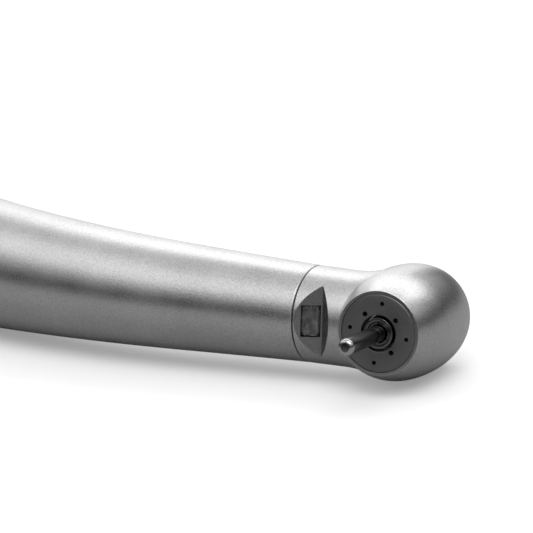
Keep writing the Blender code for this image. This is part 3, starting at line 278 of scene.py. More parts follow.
# Finishes
SHARP_ANGLE = radians(35)
NOISE_LOW, NOISE_HIGH = 0.3, 0.7
# Share of the satin colour on the notch's facets and the rim's face: painted shade
NOTCH_PAINTED_SHADE = 0.55
FIBRE_PITCH = 0.05 * MM
GLASS_IOR = 1.5
# Steels of the scene alone, each listed with the CAD model's steel; the script does not read this table
SLOT_OF = dict.fromkeys(("socket_steel", "nose_steel", "pin_steel", "collet_steel"), "bright_steel")

# Stage
WHITE = (1.0, 1.0, 1.0, 1.0)
FLOOR_DROP = 0.02 * MM
FAR_FLOOR_GLOW = 0.8
GLOW_RISE_START, GLOW_RISE_END = 90 * MM, 250 * MM
SKY_BRIGHTNESS = 0.85
SKY_RISE = (0.1, 0.64)
LIGHT_DISTANCE = 0.6
VIEW_AZIMUTH = radians(48.96)
VIEW_ELEVATION = radians(14.63)
VIEW_ROLL = radians(-4.342)
VIEW_AIM = Vector((-7.93, -6.366, 6.864)) * MM
SENSOR_WIDTH = 36.0
CLIP_RANGE = (0.01, 20.0)


# Frames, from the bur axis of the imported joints

def spin_joint():
    return next(joint for joint in frame["joints"] if joint["name"] == "rotor_spin")


BUR_IN_SCENE = Vector(spin_joint()["axis"]).normalized()
HEAD_TURN = asin(BUR_IN_SCENE.x)
REST_ROLL = -asin(BUR_IN_SCENE.z / cos(HEAD_TURN))
BUR_DIRECTION = Vector((sin(HEAD_TURN), -cos(HEAD_TURN), 0.0))


def handle_axis(position):
    """Point of the handle's axis at a distance behind the bur axis, and the angle it points at there."""
    if position >= BEND_END:
        return Vector((BEND_END - position, 0.0, 0.0)), 0.0
    bend_length = BEND_END - BEND_START
    bend_radius = bend_length / BEND_ANGLE
    angle = BEND_ANGLE * min(BEND_END - position, bend_length) / bend_length
    point = Vector((bend_radius * sin(angle), bend_radius * (1 - cos(angle)), 0.0))
    straight = max(BEND_START - position, 0.0)
    return point + straight * Vector((cos(angle), sin(angle), 0.0)), angle


def handle_point(position, bur_side, up):
    """Point at offsets from the handle's axis: towards the side the bur points to, and upwards."""
    point, angle = handle_axis(position)
    return point + bur_side * Vector((sin(angle), -cos(angle), 0.0)) + up * Vector((0.0, 0.0, 1.0))


def axes(origin, x_direction, z_direction):
    """Matrix of a frame from its origin and two of its directions."""
    x_axis = Vector(x_direction).normalized()
    z_axis = Vector(z_direction).normalized()
    turn = Matrix((x_axis, z_axis.cross(x_axis), z_axis)).transposed().to_4x4()
    return Matrix.Translation(origin) @ turn


def notch_point(along_floor):
    """Point on the notch's floor, by its distance from the deepest line, in the neck's frame."""
    return Vector((NOTCH_DEPTH_LEVEL + along_floor * sin(NOTCH_FLOOR_ANGLE), 0.0,
                   NOTCH_DEPTH_POSITION + along_floor * cos(NOTCH_FLOOR_ANGLE)))


FACE_CENTRE = handle_point(0.0, 0.0, 0.0) + FACE_TO_NECK_AXIS * BUR_DIRECTION
ROLLED = Matrix.Rotation(REST_ROLL, 4, "X")
AT_REST = Matrix.Translation(Vector(spin_joint()["pos_m"]) - ROLLED @ FACE_CENTRE) @ ROLLED
HEAD = AT_REST @ axes(FACE_CENTRE, (cos(HEAD_TURN), sin(HEAD_TURN), 0), -BUR_DIRECTION)
NECK = AT_REST @ axes(handle_point(0.0, 0.0, 0.0), (sin(BEND_ANGLE), -cos(BEND_ANGLE), 0),
                      (-cos(BEND_ANGLE), -sin(BEND_ANGLE), 0))
REAR = AT_REST @ axes((BEND_END, 0, 0), (0, -1, 0), (-1, 0, 0))
WINDOW_IN_NECK = axes(notch_point(WINDOW_FROM_DEEPEST), (sin(NOTCH_FLOOR_ANGLE), 0, cos(NOTCH_FLOOR_ANGLE)),
                      (cos(NOTCH_FLOOR_ANGLE), 0, -sin(NOTCH_FLOOR_ANGLE)))
NOTCH_FRONT_IN_NECK = axes(notch_point(0.0), (sin(NOTCH_FRONT_ANGLE), 0, -cos(NOTCH_FRONT_ANGLE)),
                           (cos(NOTCH_FRONT_ANGLE), 0, sin(NOTCH_FRONT_ANGLE)))
WINDOW = NECK @ WINDOW_IN_NECK


# Outer forms

def spread(first, last, count):
    """Evenly spaced values from the first to the last."""
    return [first + (last - first) * i / (count - 1) for i in range(count)]


def head_radius(height):
    """Outer radius of the head: a full cheek from the rim, then an elliptic back."""
    if height < HEAD_WIDE_HEIGHT:
        share = (1 - height / HEAD_WIDE_HEIGHT) ** CHEEK_FULLNESS
        return HEAD_WIDE_RADIUS - (HEAD_WIDE_RADIUS - HEAD_RIM_RADIUS) * share
    run = (height - HEAD_WIDE_HEIGHT) / (HEAD_BACK_HEIGHT - HEAD_WIDE_HEIGHT)
    return HEAD_BACK_RADIUS + (HEAD_WIDE_RADIUS - HEAD_BACK_RADIUS) * sqrt(max(1 - run * run, 0.0))


def handle_radius(position):
    """Outer radius of the handle sleeve, which swells steadily from the seam to the grip."""
    run = position - SEAM_POSITION
    span = BEND_END - SEAM_POSITION
    growth = (HANDLE_RADIUS_AT_BEND_END - SEAM_RADIUS - SEAM_SLOPE * span) / span ** 2
    return SEAM_RADIUS + SEAM_SLOPE * run + growth * run * run


def neck_fillet_span():
    """Where the fillet on the neck's upper and lower sides starts on the neck and ends on the head."""
    reach = HEAD_WIDE_RADIUS + NECK_FILLET
    back = sqrt(reach ** 2 - (NECK_RADIUS + NECK_FILLET) ** 2)
    return back, HEAD_WIDE_RADIUS * back / reach


def groove(height, side, count=12):
    """Arc of a bearing's ball groove, from the lower shoulder up; side is +1 for the outer race."""
    radius = BALL_RADIUS + BALL_GAP
    half = acos(SHOULDER_OFFSET / radius)
    return [(PITCH_RADIUS + side * radius * cos(angle), height + radius * sin(angle))
            for angle in spread(-half, half, count)]


def tube_place(angle, radius):
    """Offsets from the handle's axis, towards the bur side and upwards."""
    distance = SPIGOT_RADIUS - SPIGOT_RIM - radius
    return distance * cos(angle), distance * sin(angle)


# Sizes, finishes and light that a user may change

class HandpieceDetail(bpy.types.PropertyGroup):
    turn_steps: IntProperty(
        name="Turned Steps", description="Faces round each large turned piece", default=144, min=24, max=256)
    small_steps: IntProperty(
        name="Small Turned Steps", description="Faces round each small turned piece", default=72, min=16,
        max=256)
    bore_steps: IntProperty(
        name="Bore Steps", description="Faces round each small bore", default=32, min=8, max=96)
    edge_rounding: FloatProperty(
        name="Edge Rounding", description="Radius that softens the edges of turned pieces",
        default=0.03 * MM, min=0.0, unit="LENGTH", precision=5)
    window_rounding: FloatProperty(
        name="Window Rounding", description="Radius of the light window's corners",
        default=0.42 * MM, min=0.0, unit="LENGTH", precision=5)


class HandpieceFinish(bpy.types.PropertyGroup):
    satin_colour: FloatVectorProperty(
        name="Satin Metal", description="Colour of the bead-blasted shells", subtype="COLOR",
        default=(0.5, 0.5, 0.5), min=0.0, max=1.0)
    satin_roughness: FloatProperty(
        name="Satin Roughness", description="Mean roughness of the bead-blasted shells",
        default=0.3, min=0.0, max=1.0, subtype="FACTOR")
    grain_size: FloatProperty(
        name="Blasting Grain", description="Size of the bead marks on the shells",
        default=0.16 * MM, min=0.01 * MM, unit="LENGTH", precision=5)
    plate_colour: FloatVectorProperty(
        name="Face Plate", description="Colour of the dark face plate", subtype="COLOR",
        default=(0.17, 0.17, 0.17), min=0.0, max=1.0)
    steel_colour: FloatVectorProperty(
        name="Turned Steel", description="Colour of the turned and ground steel pieces", subtype="COLOR",
        default=(0.32, 0.32, 0.325), min=0.0, max=1.0)
    nose_colour: FloatVectorProperty(
        name="Spindle Nose", description="Colour of the spindle's nose and the collet", subtype="COLOR",
        default=(0.15, 0.15, 0.15), min=0.0, max=1.0)
    # The bur blank's steel, darkened: painted shade on the shank
    pin_colour: FloatVectorProperty(
        name="Bur Blank", description="Colour of the polished bur blank", subtype="COLOR",
        default=(0.13, 0.13, 0.13), min=0.0, max=1.0)
    glass_colour: FloatVectorProperty(
        name="Window Glass", description="Tint of the light window and the light guide", subtype="COLOR",
        default=(0.6, 0.6, 0.6), min=0.0, max=1.0)
    alloy_colour: FloatVectorProperty(
        name="Rotor Alloy", description="Colour of the milled impeller", subtype="COLOR",
        default=(0.58, 0.58, 0.59), min=0.0, max=1.0)
    brass_colour: FloatVectorProperty(
        name="Tube Brass", description="Colour of the drawn tubes", subtype="COLOR",
        default=(0.62, 0.44, 0.2), min=0.0, max=1.0)
    cage_colour: FloatVectorProperty(
        name="Cage Resin", description="Colour of the bearings' fibre-filled cages", subtype="COLOR",
        default=(0.3, 0.17, 0.07), min=0.0, max=1.0)
    ball_colour: FloatVectorProperty(
        name="Ceramic Balls", description="Colour of the bearings' ceramic balls", subtype="COLOR",
        default=(0.06, 0.06, 0.065), min=0.0, max=1.0)
    rubber_colour: FloatVectorProperty(
        name="Seal Rubber", description="Colour of the sealing rings", subtype="COLOR",
        default=(0.018, 0.018, 0.018), min=0.0, max=1.0)
    clamp_colour: FloatVectorProperty(
        name="Clamp Resin", description="Colour of the tube clamps", subtype="COLOR",
        default=(0.05, 0.05, 0.055), min=0.0, max=1.0)


class HandpieceStage(bpy.types.PropertyGroup):
    floor_size: FloatProperty(
        name="Floor Size", description="Side of the square floor", default=4.0, min=0.5, unit="LENGTH")
    floor_colour: FloatVectorProperty(
        name="Floor", description="Colour of the paper floor", subtype="COLOR", default=(0.66, 0.66, 0.66),
        min=0.0, max=1.0)
    floor_in_metal: FloatProperty(
        name="Floor in Metal", description="Share of the floor's colour that metal shows",
        default=0.5, min=0.0, max=1.0, subtype="FACTOR")
    horizon_in_metal: FloatProperty(
        name="Horizon in Metal", description="Share of the white background that metal shows at the horizon",
        default=0.05, min=0.0, max=1.0, subtype="FACTOR")
    floor_glow: FloatProperty(
        name="Floor Glow", description="White that the floor adds near the object where the camera sees it",
        default=0.28, min=0.0, max=1.0)
    floor_front: FloatProperty(
        name="Floor Front", description="How far the floor reaches in front of the object",
        default=0.11, min=0.02, unit="LENGTH")
    camera_distance: FloatProperty(
        name="Camera Distance", description="From the camera to the face plate, along the view",
        default=260.0 * MM, min=0.05, unit="LENGTH")
    focal_length: FloatProperty(
        name="Focal Length", description="Focal length of the camera, in millimetres", default=186.15)
    key_power: FloatProperty(
        name="Key Light", description="Power of the light high on the right", default=1.7, min=0.0,
        unit="POWER")
    back_power: FloatProperty(
        name="Back Light", description="Power of the wide light high behind the head", default=1.15, min=0.0,
        unit="POWER")
    window_power: FloatProperty(
        name="Window Light", description="Power of the low light behind the handle", default=0.42, min=0.0,
        unit="POWER")
    front_power: FloatProperty(
        name="Front Light", description="Power of the light above and left of the camera", default=0.36,
        min=0.0, unit="POWER")


# Mesh tools

def linked(name, data):
    """A new object in the scene."""
    obj = bpy.data.objects.new(name, data)
    bpy.context.scene.collection.objects.link(obj)
    return obj


def to_object(name, bm):
    """A new object in the scene from a shape, which is used up."""
    mesh = bpy.data.meshes.new(name)
    bm.to_mesh(mesh)
    bm.free()
    return linked(name, mesh)


def modified(obj, kind, **settings):
    """Shape that a modifier makes of an object, which is used up."""
    modifier = obj.modifiers.new(kind.title(), kind)
    for key, value in settings.items():
        setattr(modifier, key, value)
    bm = bmesh.new()
    bm.from_object(obj, bpy.context.evaluated_depsgraph_get())
    bpy.data.meshes.remove(obj.data)
    return bm


def combine(base, other, operation="DIFFERENCE"):
    """Cut or join two shapes; both are used up."""
    tool = to_object("other", other)
    bm = modified(to_object("base", base), "BOOLEAN", operation=operation, solver="EXACT", object=tool)
    bpy.data.meshes.remove(tool.data)
    return bm


def thickened(bm, thickness):
    """A sheet given an even thickness about its middle."""
    return modified(to_object("sheet", bm), "SOLIDIFY", thickness=thickness, offset=0.0, use_even_offset=True)


def moved(bm, matrix):
    bmesh.ops.transform(bm, matrix=matrix, verts=bm.verts)
    return bm


def turn_profile(profile, steps, rounding=0.0):
    """Spin (radius, height) points round Z; the outline closes itself unless it starts on the axis."""
    bm = bmesh.new()
    corners = [bm.verts.new((radius, 0.0, height)) for radius, height in profile]
    pairs = list(zip(corners, corners[1:]))
    if profile[0][0] > 0:
        pairs.append((corners[-1], corners[0]))
    outline = corners + [bm.edges.new(pair) for pair in pairs]
    bmesh.ops.spin(bm, geom=outline, cent=(0, 0, 0), axis=(0, 0, 1), angle=2 * pi, steps=steps,
                   use_merge=True)
    bmesh.ops.remove_doubles(bm, verts=bm.verts, dist=MERGE_DISTANCE)
    bmesh.ops.recalc_face_normals(bm, faces=bm.faces)
    if rounding:
        round_edges(bm, rounding)
    return bm


def stairs(height, *steps):
    """Stepped part of a profile, from a height: each step has a radius and the height that it runs to."""
    points = []
    for radius, end in steps:
        points += [(radius, height), (radius, end)]
        height = end
    return points


def solid(profile):
    """A profile closed at both ends towards the axis."""
    return [(0, profile[0][1]), *profile, (0, profile[-1][1])]


def arc(centre, radius, start, end, count):
    """Points of an arc in a profile, from one angle to another."""
    return [(centre[0] + radius * cos(angle), centre[1] + radius * sin(angle))
            for angle in spread(start, end, count)]


def round_edges(bm, radius, segments=3, sharper_than=radians(32)):
    sharp = [edge for edge in bm.edges if edge.is_manifold and edge.calc_face_angle() > sharper_than]
    bevel(bm, sharp, radius, segments)


def bevel(bm, edges, radius, segments):
    bmesh.ops.bevel(bm, geom=edges, offset=radius, segments=segments, profile=0.5, affect="EDGES",
                    clamp_overlap=True, material=-1)


def bore(start, end, radius, steps):
    """A round cutter from one point to another."""
    start = Vector(start)
    run = Vector(end) - start
    bm = bmesh.new()
    bmesh.ops.create_cone(bm, cap_ends=True, segments=steps, radius1=radius, radius2=radius, depth=run.length)
    return moved(bm, Matrix.Translation(start + run / 2) @ run.to_track_quat("Z", "Y").to_matrix().to_4x4())


def block(size, centre):
    bm = bmesh.new()
    bmesh.ops.create_cube(bm, size=1.0)
    return moved(bm, Matrix.Translation(centre) @ Matrix.Diagonal((*size, 1.0)))


def coil(radius, centre, start, turn, rise, steps, sides=16):
    """Wire ring or spring with closed ends: an upright circle spun by an angle while it rises."""
    bm = bmesh.new()
    upright = Matrix.Translation((centre, 0, 0)) @ Matrix.Rotation(pi / 2, 4, "X")
    bmesh.ops.create_circle(bm, cap_ends=False, radius=radius, segments=sides,
                            matrix=Matrix.Rotation(start, 4, "Z") @ upright)
    bmesh.ops.spin(bm, geom=bm.verts[:] + bm.edges[:], cent=(0, 0, 0), axis=(0, 0, 1),
                   dvec=(0, 0, rise / steps), angle=turn, steps=steps)
    bmesh.ops.holes_fill(bm, edges=bm.edges, sides=0)
    bmesh.ops.recalc_face_normals(bm, faces=bm.faces)
    return bm


def through_hole(bm, place, front, rear, radius, steps):
    """A hole along Z right through a wall."""
    return combine(bm, bore((*place, front - CUT_BEYOND), (*place, rear + CUT_BEYOND), radius, steps))


def drilled_for_tubes(bm, front, rear, steps):
    """A wall with a hole for each tube."""
    for angle, radius in (DRIVE_TUBE, WATER_TUBE, CHIP_AIR_TUBE, LIGHT_GUIDE, EXHAUST):
        bm = through_hole(bm, tube_place(angle, radius), front, rear, radius + TUBE_GAP, steps)
    return bm


def bend_along_handle(bm):
    """Carry a straight piece, drawn along Z by its distance behind the bur axis, onto the curved axis."""
    for vertex in bm.verts:
        vertex.co = handle_point(vertex.co.z, vertex.co.x, vertex.co.y)
    return bm


def give_finish(bm, index, half_size, low, high, place=Matrix()):
    """Give another of the piece's finishes to the faces inside a box, in the axes of a place."""
    inverse = place.inverted()
    for face in bm.faces:
        centre = inverse @ face.calc_center_median()
        if max(abs(centre.x) - half_size[0], abs(centre.y) - half_size[1]) < 0 and low < centre.z < high:
            face.material_index = index


def give_flat_finish(bm, index, half_size, level, place=Matrix()):
    """Give another finish to the flat faces at one level."""
    give_finish(bm, index, half_size, level - MERGE_DISTANCE, level + MERGE_DISTANCE, place)


def finish_piece(name, bm, place, finishes, body, *nodes):
    """Put a shape in its place as a smooth piece that rides on a body and stands for its CAD nodes."""
    piece = to_object(name, moved(bm, place))
    piece.data.shade_smooth()
    piece.data.set_sharp_from_angle(angle=SHARP_ANGLE)
    finishes = finishes.split()
    for finish in finishes:
        piece.data.materials.append(bpy.data.materials[finish])
    piece.modifiers.new("Weighted Normals", "WEIGHTED_NORMAL").keep_sharp = True
    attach(piece, body)
    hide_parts(*nodes)
    return piece


def finish_turned(name, outline, steps, rounding, *settings):
    """A finished piece straight from its turned outline."""
    return finish_piece(name, turn_profile(outline, steps, rounding), *settings)


# Material tools

class Nodes:
    """A node tree, with short calls that add a node and join it up."""

    def __init__(self, tree):
        self.tree = tree

    def feed(self, node, inputs):
        """Join a node's inputs to what other nodes give, or set them to a value."""
        for socket, value in inputs.items():
            if isinstance(value, bpy.types.NodeSocket):
                self.tree.links.new(value, node.inputs[socket])
            else:
                node.inputs[socket].default_value = value

    def node(self, kind, inputs, **settings):
        made = self.tree.nodes.new(f"ShaderNode{kind}")
        for key, value in settings.items():
            setattr(made, key, value)
        self.feed(made, inputs)
        return made.outputs

    def place(self, matrix=None, stretch=None):
        """Object coordinates, or those of a turned piece's own frame, stretched along its axes."""
        vector = self.node("TexCoord", {})["Object"]
        if matrix is not None:
            inverse = matrix.inverted()
            vector = self.node("Mapping", {"Vector": vector, "Location": inverse.to_translation(),
                                           "Rotation": inverse.to_euler("XYZ")})["Vector"]
        if stretch:
            vector = self.node("Mapping", {"Vector": vector, "Scale": stretch})["Vector"]
        return vector

    def noise(self, size, detail=2.0, roughness=0.5, vector=None):
        """Noise whose marks are about the given size."""
        return self.node("TexNoise", {"Vector": vector or self.place(), "Scale": 1.0 / size, "Detail": detail,
                                      "Roughness": roughness})["Fac"]

    def lines(self, kind, place, pitch, distortion):
        """Fine turned or drawn lines at a pitch: RINGS round an axis or BANDS along it."""
        return self.node("TexWave", {"Vector": self.place(place), "Scale": pi / (10 * pitch),
                                     "Distortion": distortion},
                         wave_type=kind, rings_direction="Z", bands_direction="Z")["Fac"]

    def map(self, value, low, high, start=0.0, end=1.0, **settings):
        """Carry a value's range from start and end to low and high."""
        return self.node("MapRange", {"Value": value, "From Min": start, "From Max": end, "To Min": low,
                                      "To Max": high}, **settings)["Result"]

    def noise_map(self, noise, low, high):
        """Carry the range that most of a noise's values keep to onto another range."""
        return self.map(noise, low, high, NOISE_LOW, NOISE_HIGH)

    def math(self, first, second, operation="MULTIPLY"):
        return self.node("Math", {0: first, 1: second}, operation=operation)["Value"]

    def white_background(self, share_in_metal):
        """1 for camera and transmission rays, a share for glossy rays, and 0 for the light on the object."""
        path = self.node("LightPath", {})
        glossy = self.math(path["Is Glossy Ray"], share_in_metal)
        seen = self.math(path["Is Camera Ray"], path["Is Transmission Ray"], "MAXIMUM")
        return self.math(glossy, seen, "MAXIMUM")


class Shading(Nodes):
    """A new material's nodes, with short calls for its shader."""

    def __init__(self, name, colour, roughness, metallic=1.0, base=1.0):
        self.material = bpy.data.materials.new(name)
        self.material.use_nodes = True
        super().__init__(self.material.node_tree)
        self.colour = colour
        self.relief = {}
        self.shade(Metallic=metallic, Roughness=roughness, **{"Base Color": (*tinted(colour, base), 1.0)})

    def shade(self, **inputs):
        self.feed(self.tree.nodes["Principled BSDF"], inputs)

    def shade_colour(self, value, dark, light):
        """Base colour between two shades of the material's colour, by a value."""
        mix = self.tree.nodes.new("ShaderNodeMix")
        mix.data_type = "RGBA"
        sockets = {socket.identifier: socket for socket in (*mix.inputs, *mix.outputs)}
        self.tree.links.new(value, sockets["Factor_Float"])
        for socket, share in (("A_Color", dark), ("B_Color", light)):
            sockets[socket].default_value = (*tinted(self.colour, share), 1.0)
        self.shade(**{"Base Color": sockets["Result_Color"]})

    def bump(self, height, depth, strength):
        """Add relief to the surface."""
        inputs = {"Height": height, "Distance": depth, "Strength": strength, **self.relief}
        self.relief = {"Normal": self.node("Bump", inputs)["Normal"]}
        self.shade(**self.relief)


def tinted(colour, share):
    return tuple(min(channel * share, 1.0) for channel in colour)


# Finishes

def drifting(finish, name, colour, roughness, marks, detail, shades, rough, share=1.0, base=1.0, metallic=1.0,
             lines=(), rough_lines=0.0, skin=None):
    """Finish whose shade and roughness drift over soft marks, with turned lines or a fine skin."""
    made = Shading(name, tinted(getattr(finish, f"{colour}_colour"), share), roughness, metallic, base)
    drift = made.noise(marks, detail)
    made.shade_colour(drift, *shades)
    drawn = [(made.lines(*line), depth, strength) for *line, depth, strength in lines]
    worn = made.map(drift, *rough)
    if rough_lines:
        worn = made.math(worn, made.map(drawn[0][0], -rough_lines, rough_lines), "ADD")
    made.shade(Roughness=worn)
    for relief in drawn:
        made.bump(*relief)
    if skin:
        made.bump(drift, *skin)


# marks: size of the soft marks. shades, rough: what they drift between. lines: kind, axis, pitch, distortion,
# depth and strength. rough_lines: how far the first lines change the roughness. skin: depth and strength.
NOSE_STEEL = dict(colour="nose", roughness=0.2, marks=0.5 * MM, detail=4.0, shades=(0.8, 1.2),
                  rough=(0.16, 0.26), lines=[("RINGS", HEAD, 0.03 * MM, 0.3, 0.001 * MM, 0.4)])
PIN_STEEL_PAINTED_SHADE = dict(colour="pin", roughness=0.12, marks=0.6 * MM, detail=4.0, shades=(0.85, 1.12),
                 rough=(0.12, 0.22), lines=[("BANDS", HEAD, 0.04 * MM, 0.4, 0.0008 * MM, 0.4)])
DRIFTING = {
    # Dark finish on the walls and floor of the pocket behind the window: painted shade of the recess
    "pocket_dark": dict(
        colour="clamp", base=0.3, roughness=0.6, metallic=0.0, marks=0.08 * MM, detail=3.0,
        shades=(0.15, 0.5), rough=(0.5, 0.7), skin=(0.004 * MM, 0.4)),
    # Darkened steel plate with fine turned rings
    "dark_plate": dict(
        colour="plate", roughness=0.42, marks=0.12 * MM, detail=3.0, shades=(0.8, 1.2), rough=(0.36, 0.48),
        lines=[("RINGS", HEAD, 0.05 * MM, 0.4, 0.002 * MM, 0.5)], rough_lines=0.03, skin=(0.008 * MM, 0.4)),
    # Fine-turned steel with faint rings round the bur axis
    "bright_steel": dict(
        colour="steel", roughness=0.22, marks=0.8 * MM, detail=4.0, shades=(0.85, 1.1), rough=(0.17, 0.27),
        lines=[("BANDS", HEAD, 0.03 * MM, 0.3, 0.001 * MM, 0.4)], rough_lines=0.02),
    # Darkened steel of the spindle's nose, ground in fine rings, and a darker copy of it on the collet
    # inside: painted shade of the bore
    "nose_steel": NOSE_STEEL,
    "collet_steel": dict(NOSE_STEEL, share=0.8),
    # Ground shank of the bur blank, with faint rings left by the grinding, darkened as painted shade, and its
    # polished end in a copy 3.4 times lighter
    "pin_steel": PIN_STEEL_PAINTED_SHADE,
    "pin_end": dict(PIN_STEEL_PAINTED_SHADE, share=3.4),
    # Turned steel of the coupling socket, with tooling rings along the handle's axis
    "socket_steel": dict(
        colour="steel", roughness=0.26, marks=1.2 * MM, detail=4.0, shades=(0.85, 1.1), rough=(0.2, 0.32),
        lines=[(kind, REAR, 0.06 * MM, 0.3, 0.0015 * MM, 0.4) for kind in ("BANDS", "RINGS")],
        rough_lines=0.02),
    # Ground and polished bearing steel
    "race_steel": dict(
        colour="steel", base=1.05, roughness=0.14, marks=0.5 * MM, detail=3.0, shades=(0.95, 1.12),
        rough=(0.1, 0.18), lines=[("BANDS", HEAD, 0.02 * MM, 0.5, 0.0006 * MM, 0.3)]),
    # Milled light alloy with fine cutter marks
    "rotor_alloy": dict(
        colour="alloy", roughness=0.3, marks=0.6 * MM, detail=4.0, shades=(0.88, 1.08), rough=(0.24, 0.38),
        lines=[("BANDS", HEAD, 0.05 * MM, 2.0, 0.002 * MM, 0.4)]),
    # Dark polished ceramic, faintly mottled
    "ball_ceramic": dict(
        colour="ball", roughness=0.08, metallic=0.0, marks=0.12 * MM, detail=4.0, shades=(0.7, 1.5),
        rough=(0.06, 0.12)),
    # Black moulded resin with a fine texture
    "clamp_polymer": dict(
        colour="clamp", roughness=0.55, metallic=0.0, marks=0.1 * MM, detail=3.0, shades=(0.8, 1.4),
        rough=(0.5, 0.65), skin=(0.006 * MM, 0.5)),
}


def satin_steel(finish, name="satin_steel", share=1.0):
    """Bead-blasted metal: fine pits, a soft clouding from handling and a slight sparkle."""
    mean = finish.satin_roughness
    made = Shading(name, tinted(finish.satin_colour, share), mean)
    grain = made.noise(finish.grain_size, detail=3.0, roughness=0.6)
    fine = made.noise(finish.grain_size / 3, detail=1.0)
    cloud = made.noise(6 * MM, detail=4.0)
    tone = made.math(made.noise_map(grain, low=-0.5, high=0.5), made.noise_map(cloud, low=0.3, high=0.7),
                     "ADD")
    made.shade_colour(tone, dark=0.8, light=1.17)
    handled = made.noise_map(cloud, low=mean - 0.03, high=mean + 0.03)
    made.shade(Roughness=made.math(made.noise_map(fine, low=-0.05, high=0.05), handled, "ADD"))
    made.bump(grain, depth=0.02 * MM, strength=0.75)
    made.bump(fine, depth=0.008 * MM, strength=0.6)


def notch_satin(finish):
    """Bead-blasted steel of the notch's facets and the rim's face, in a copy darker than the shells round it:
    painted shade.
    """
    satin_steel(finish, "notch_satin", NOTCH_PAINTED_SHADE)


def cage_polymer(finish):
    """Brown fibre-filled resin: short fibres run across each other in the moulding."""
    made = Shading("cage_polymer", finish.cage_colour, 0.5, metallic=0.0)
    along, across = (made.noise(0.06 * MM, detail=3.0, vector=made.place(HEAD, stretch))
                     for stretch in ((1.0, 1.0, 0.15), (0.15, 0.15, 1.0)))
    weave = made.math(along, across, "MAXIMUM")
    made.shade_colour(made.map(weave, low=0.0, high=1.0, start=0.4, end=0.75), dark=0.7, light=1.6)
    made.shade(Roughness=made.map(weave, low=0.58, high=0.42))
    made.bump(weave, depth=0.004 * MM, strength=0.5)


def seal_rubber(finish):
    """Black sealing rubber with a fine matt skin and traces of grease."""
    made = Shading("seal_rubber", finish.rubber_colour, 0.6, metallic=0.0)
    skin = made.noise(0.05 * MM, detail=3.0)
    made.shade_colour(skin, dark=0.8, light=1.5)
    made.shade(Roughness=made.map(made.noise(0.9 * MM), low=0.72, high=0.4, start=0.35, end=0.65))
    made.bump(skin, depth=0.004 * MM, strength=0.5)


def tube_brass(finish):
    """Drawn tube: faint lines along the handle and slight tarnish."""
    made = Shading("tube_brass", finish.brass_colour, 0.3)
    drawn = made.noise(0.05 * MM, detail=3.0, vector=made.place(REAR, (1.0, 1.0, 0.02)))
    tarnish = made.noise(3 * MM, detail=5.0)
    made.shade_colour(tarnish, dark=0.7, light=1.1)
    made.shade(Roughness=made.math(made.map(tarnish, low=0.4, high=0.24),
                                   made.map(drawn, low=-0.04, high=0.04), "ADD"))
    made.bump(drawn, depth=0.003 * MM, strength=0.4)


def clear_glass(finish):
    """Smoky glass of the light window and the light guide, with a faint haze in its surface."""
    made = Shading("clear_glass", finish.glass_colour, 0.06, metallic=0.0)
    haze = made.noise(0.5 * MM, detail=4.0)
    made.shade(Roughness=made.noise_map(haze, low=0.03, high=0.12),
               **{"Transmission Weight": 1.0, "IOR": GLASS_IOR})
    made.bump(haze, depth=0.004 * MM, strength=0.4)


def guide_fibres(finish):
    """Ground ends of many fine fibres, some of them clouded."""
    made = Shading("guide_fibres", finish.glass_colour, 0.25, metallic=0.0, base=0.3)
    cells = made.node("TexVoronoi", {"Vector": made.place(), "Scale": 1 / FIBRE_PITCH})["Distance"]
    clouded = made.map(made.noise(0.7 * MM), low=0.0, high=1.0, start=0.35, end=0.65)
    made.shade_colour(made.math(clouded, made.map(cells, low=1.0, high=0.5)), dark=0.05, light=0.5)
    made.bump(cells, depth=0.003 * MM, strength=0.5)


OTHER_FINISHES = (satin_steel, notch_satin, cage_polymer, seal_rubber, tube_brass, clear_glass, guide_fibres)


# Pieces

def neck_shape(steps):
    """Neck and stepped spigot, drawn out above and below to meet the head on a fillet."""
    fillet_back, fillet_front = neck_fillet_span()
    seal_floor = SPIGOT_RADIUS - SEAL_THICKNESS + 2 * SEAT_GAP
    groove_half = SEAL_THICKNESS / 2 + TUBE_GAP
    seam = SEAM_POSITION - SEAM_GAP / 2
    profile = stairs(SPIGOT_END, (SPIGOT_RADIUS, SEAL_POSITION + groove_half),
                     (seal_floor, SEAL_POSITION - groove_half), (SPIGOT_RADIUS, seam))
    profile += [(SEAM_RADIUS - SEAM_CHAMFER, seam), (SEAM_RADIUS, seam - SEAM_CHAMFER)]
    profile += [(NECK_RADIUS, position) for position in spread(fillet_back, fillet_front, count=24)]
    profile.append((NECK_RADIUS, fillet_front - NECK_INTO_HEAD))
    bm = turn_profile(solid(profile), steps)
    for vertex in bm.verts:
        run = min(max(fillet_back - vertex.co.z, 0.0), fillet_back - fillet_front)
        lift = NECK_FILLET - sqrt(NECK_FILLET ** 2 - run ** 2)
        vertex.co.y *= 1 + lift / NECK_RADIUS
    return bm


def notch_shape():
    """Prism that cuts the notch: a sloping floor that carries the window, and a steeper front facet."""
    floor_end = notch_point(NOTCH_REACH / sin(NOTCH_FLOOR_ANGLE))
    front_run = NOTCH_REACH / sin(NOTCH_FRONT_ANGLE)
    outline = [(NOTCH_DEPTH_LEVEL, NOTCH_DEPTH_POSITION), (floor_end.x, floor_end.z),
               (NOTCH_DEPTH_LEVEL + NOTCH_REACH, NOTCH_DEPTH_POSITION - front_run * cos(NOTCH_FRONT_ANGLE))]
    width = 3 * SEAM_RADIUS
    bm = bmesh.new()
    face = bm.faces.new([bm.verts.new((x, -width / 2, z)) for x, z in outline])
    pushed = bmesh.ops.extrude_face_region(bm, geom=[face])
    far_side = [item for item in pushed["geom"] if isinstance(item, bmesh.types.BMVert)]
    bmesh.ops.translate(bm, vec=(0, width, 0), verts=far_side)
    bmesh.ops.recalc_face_normals(bm, faces=bm.faces)
    return bm


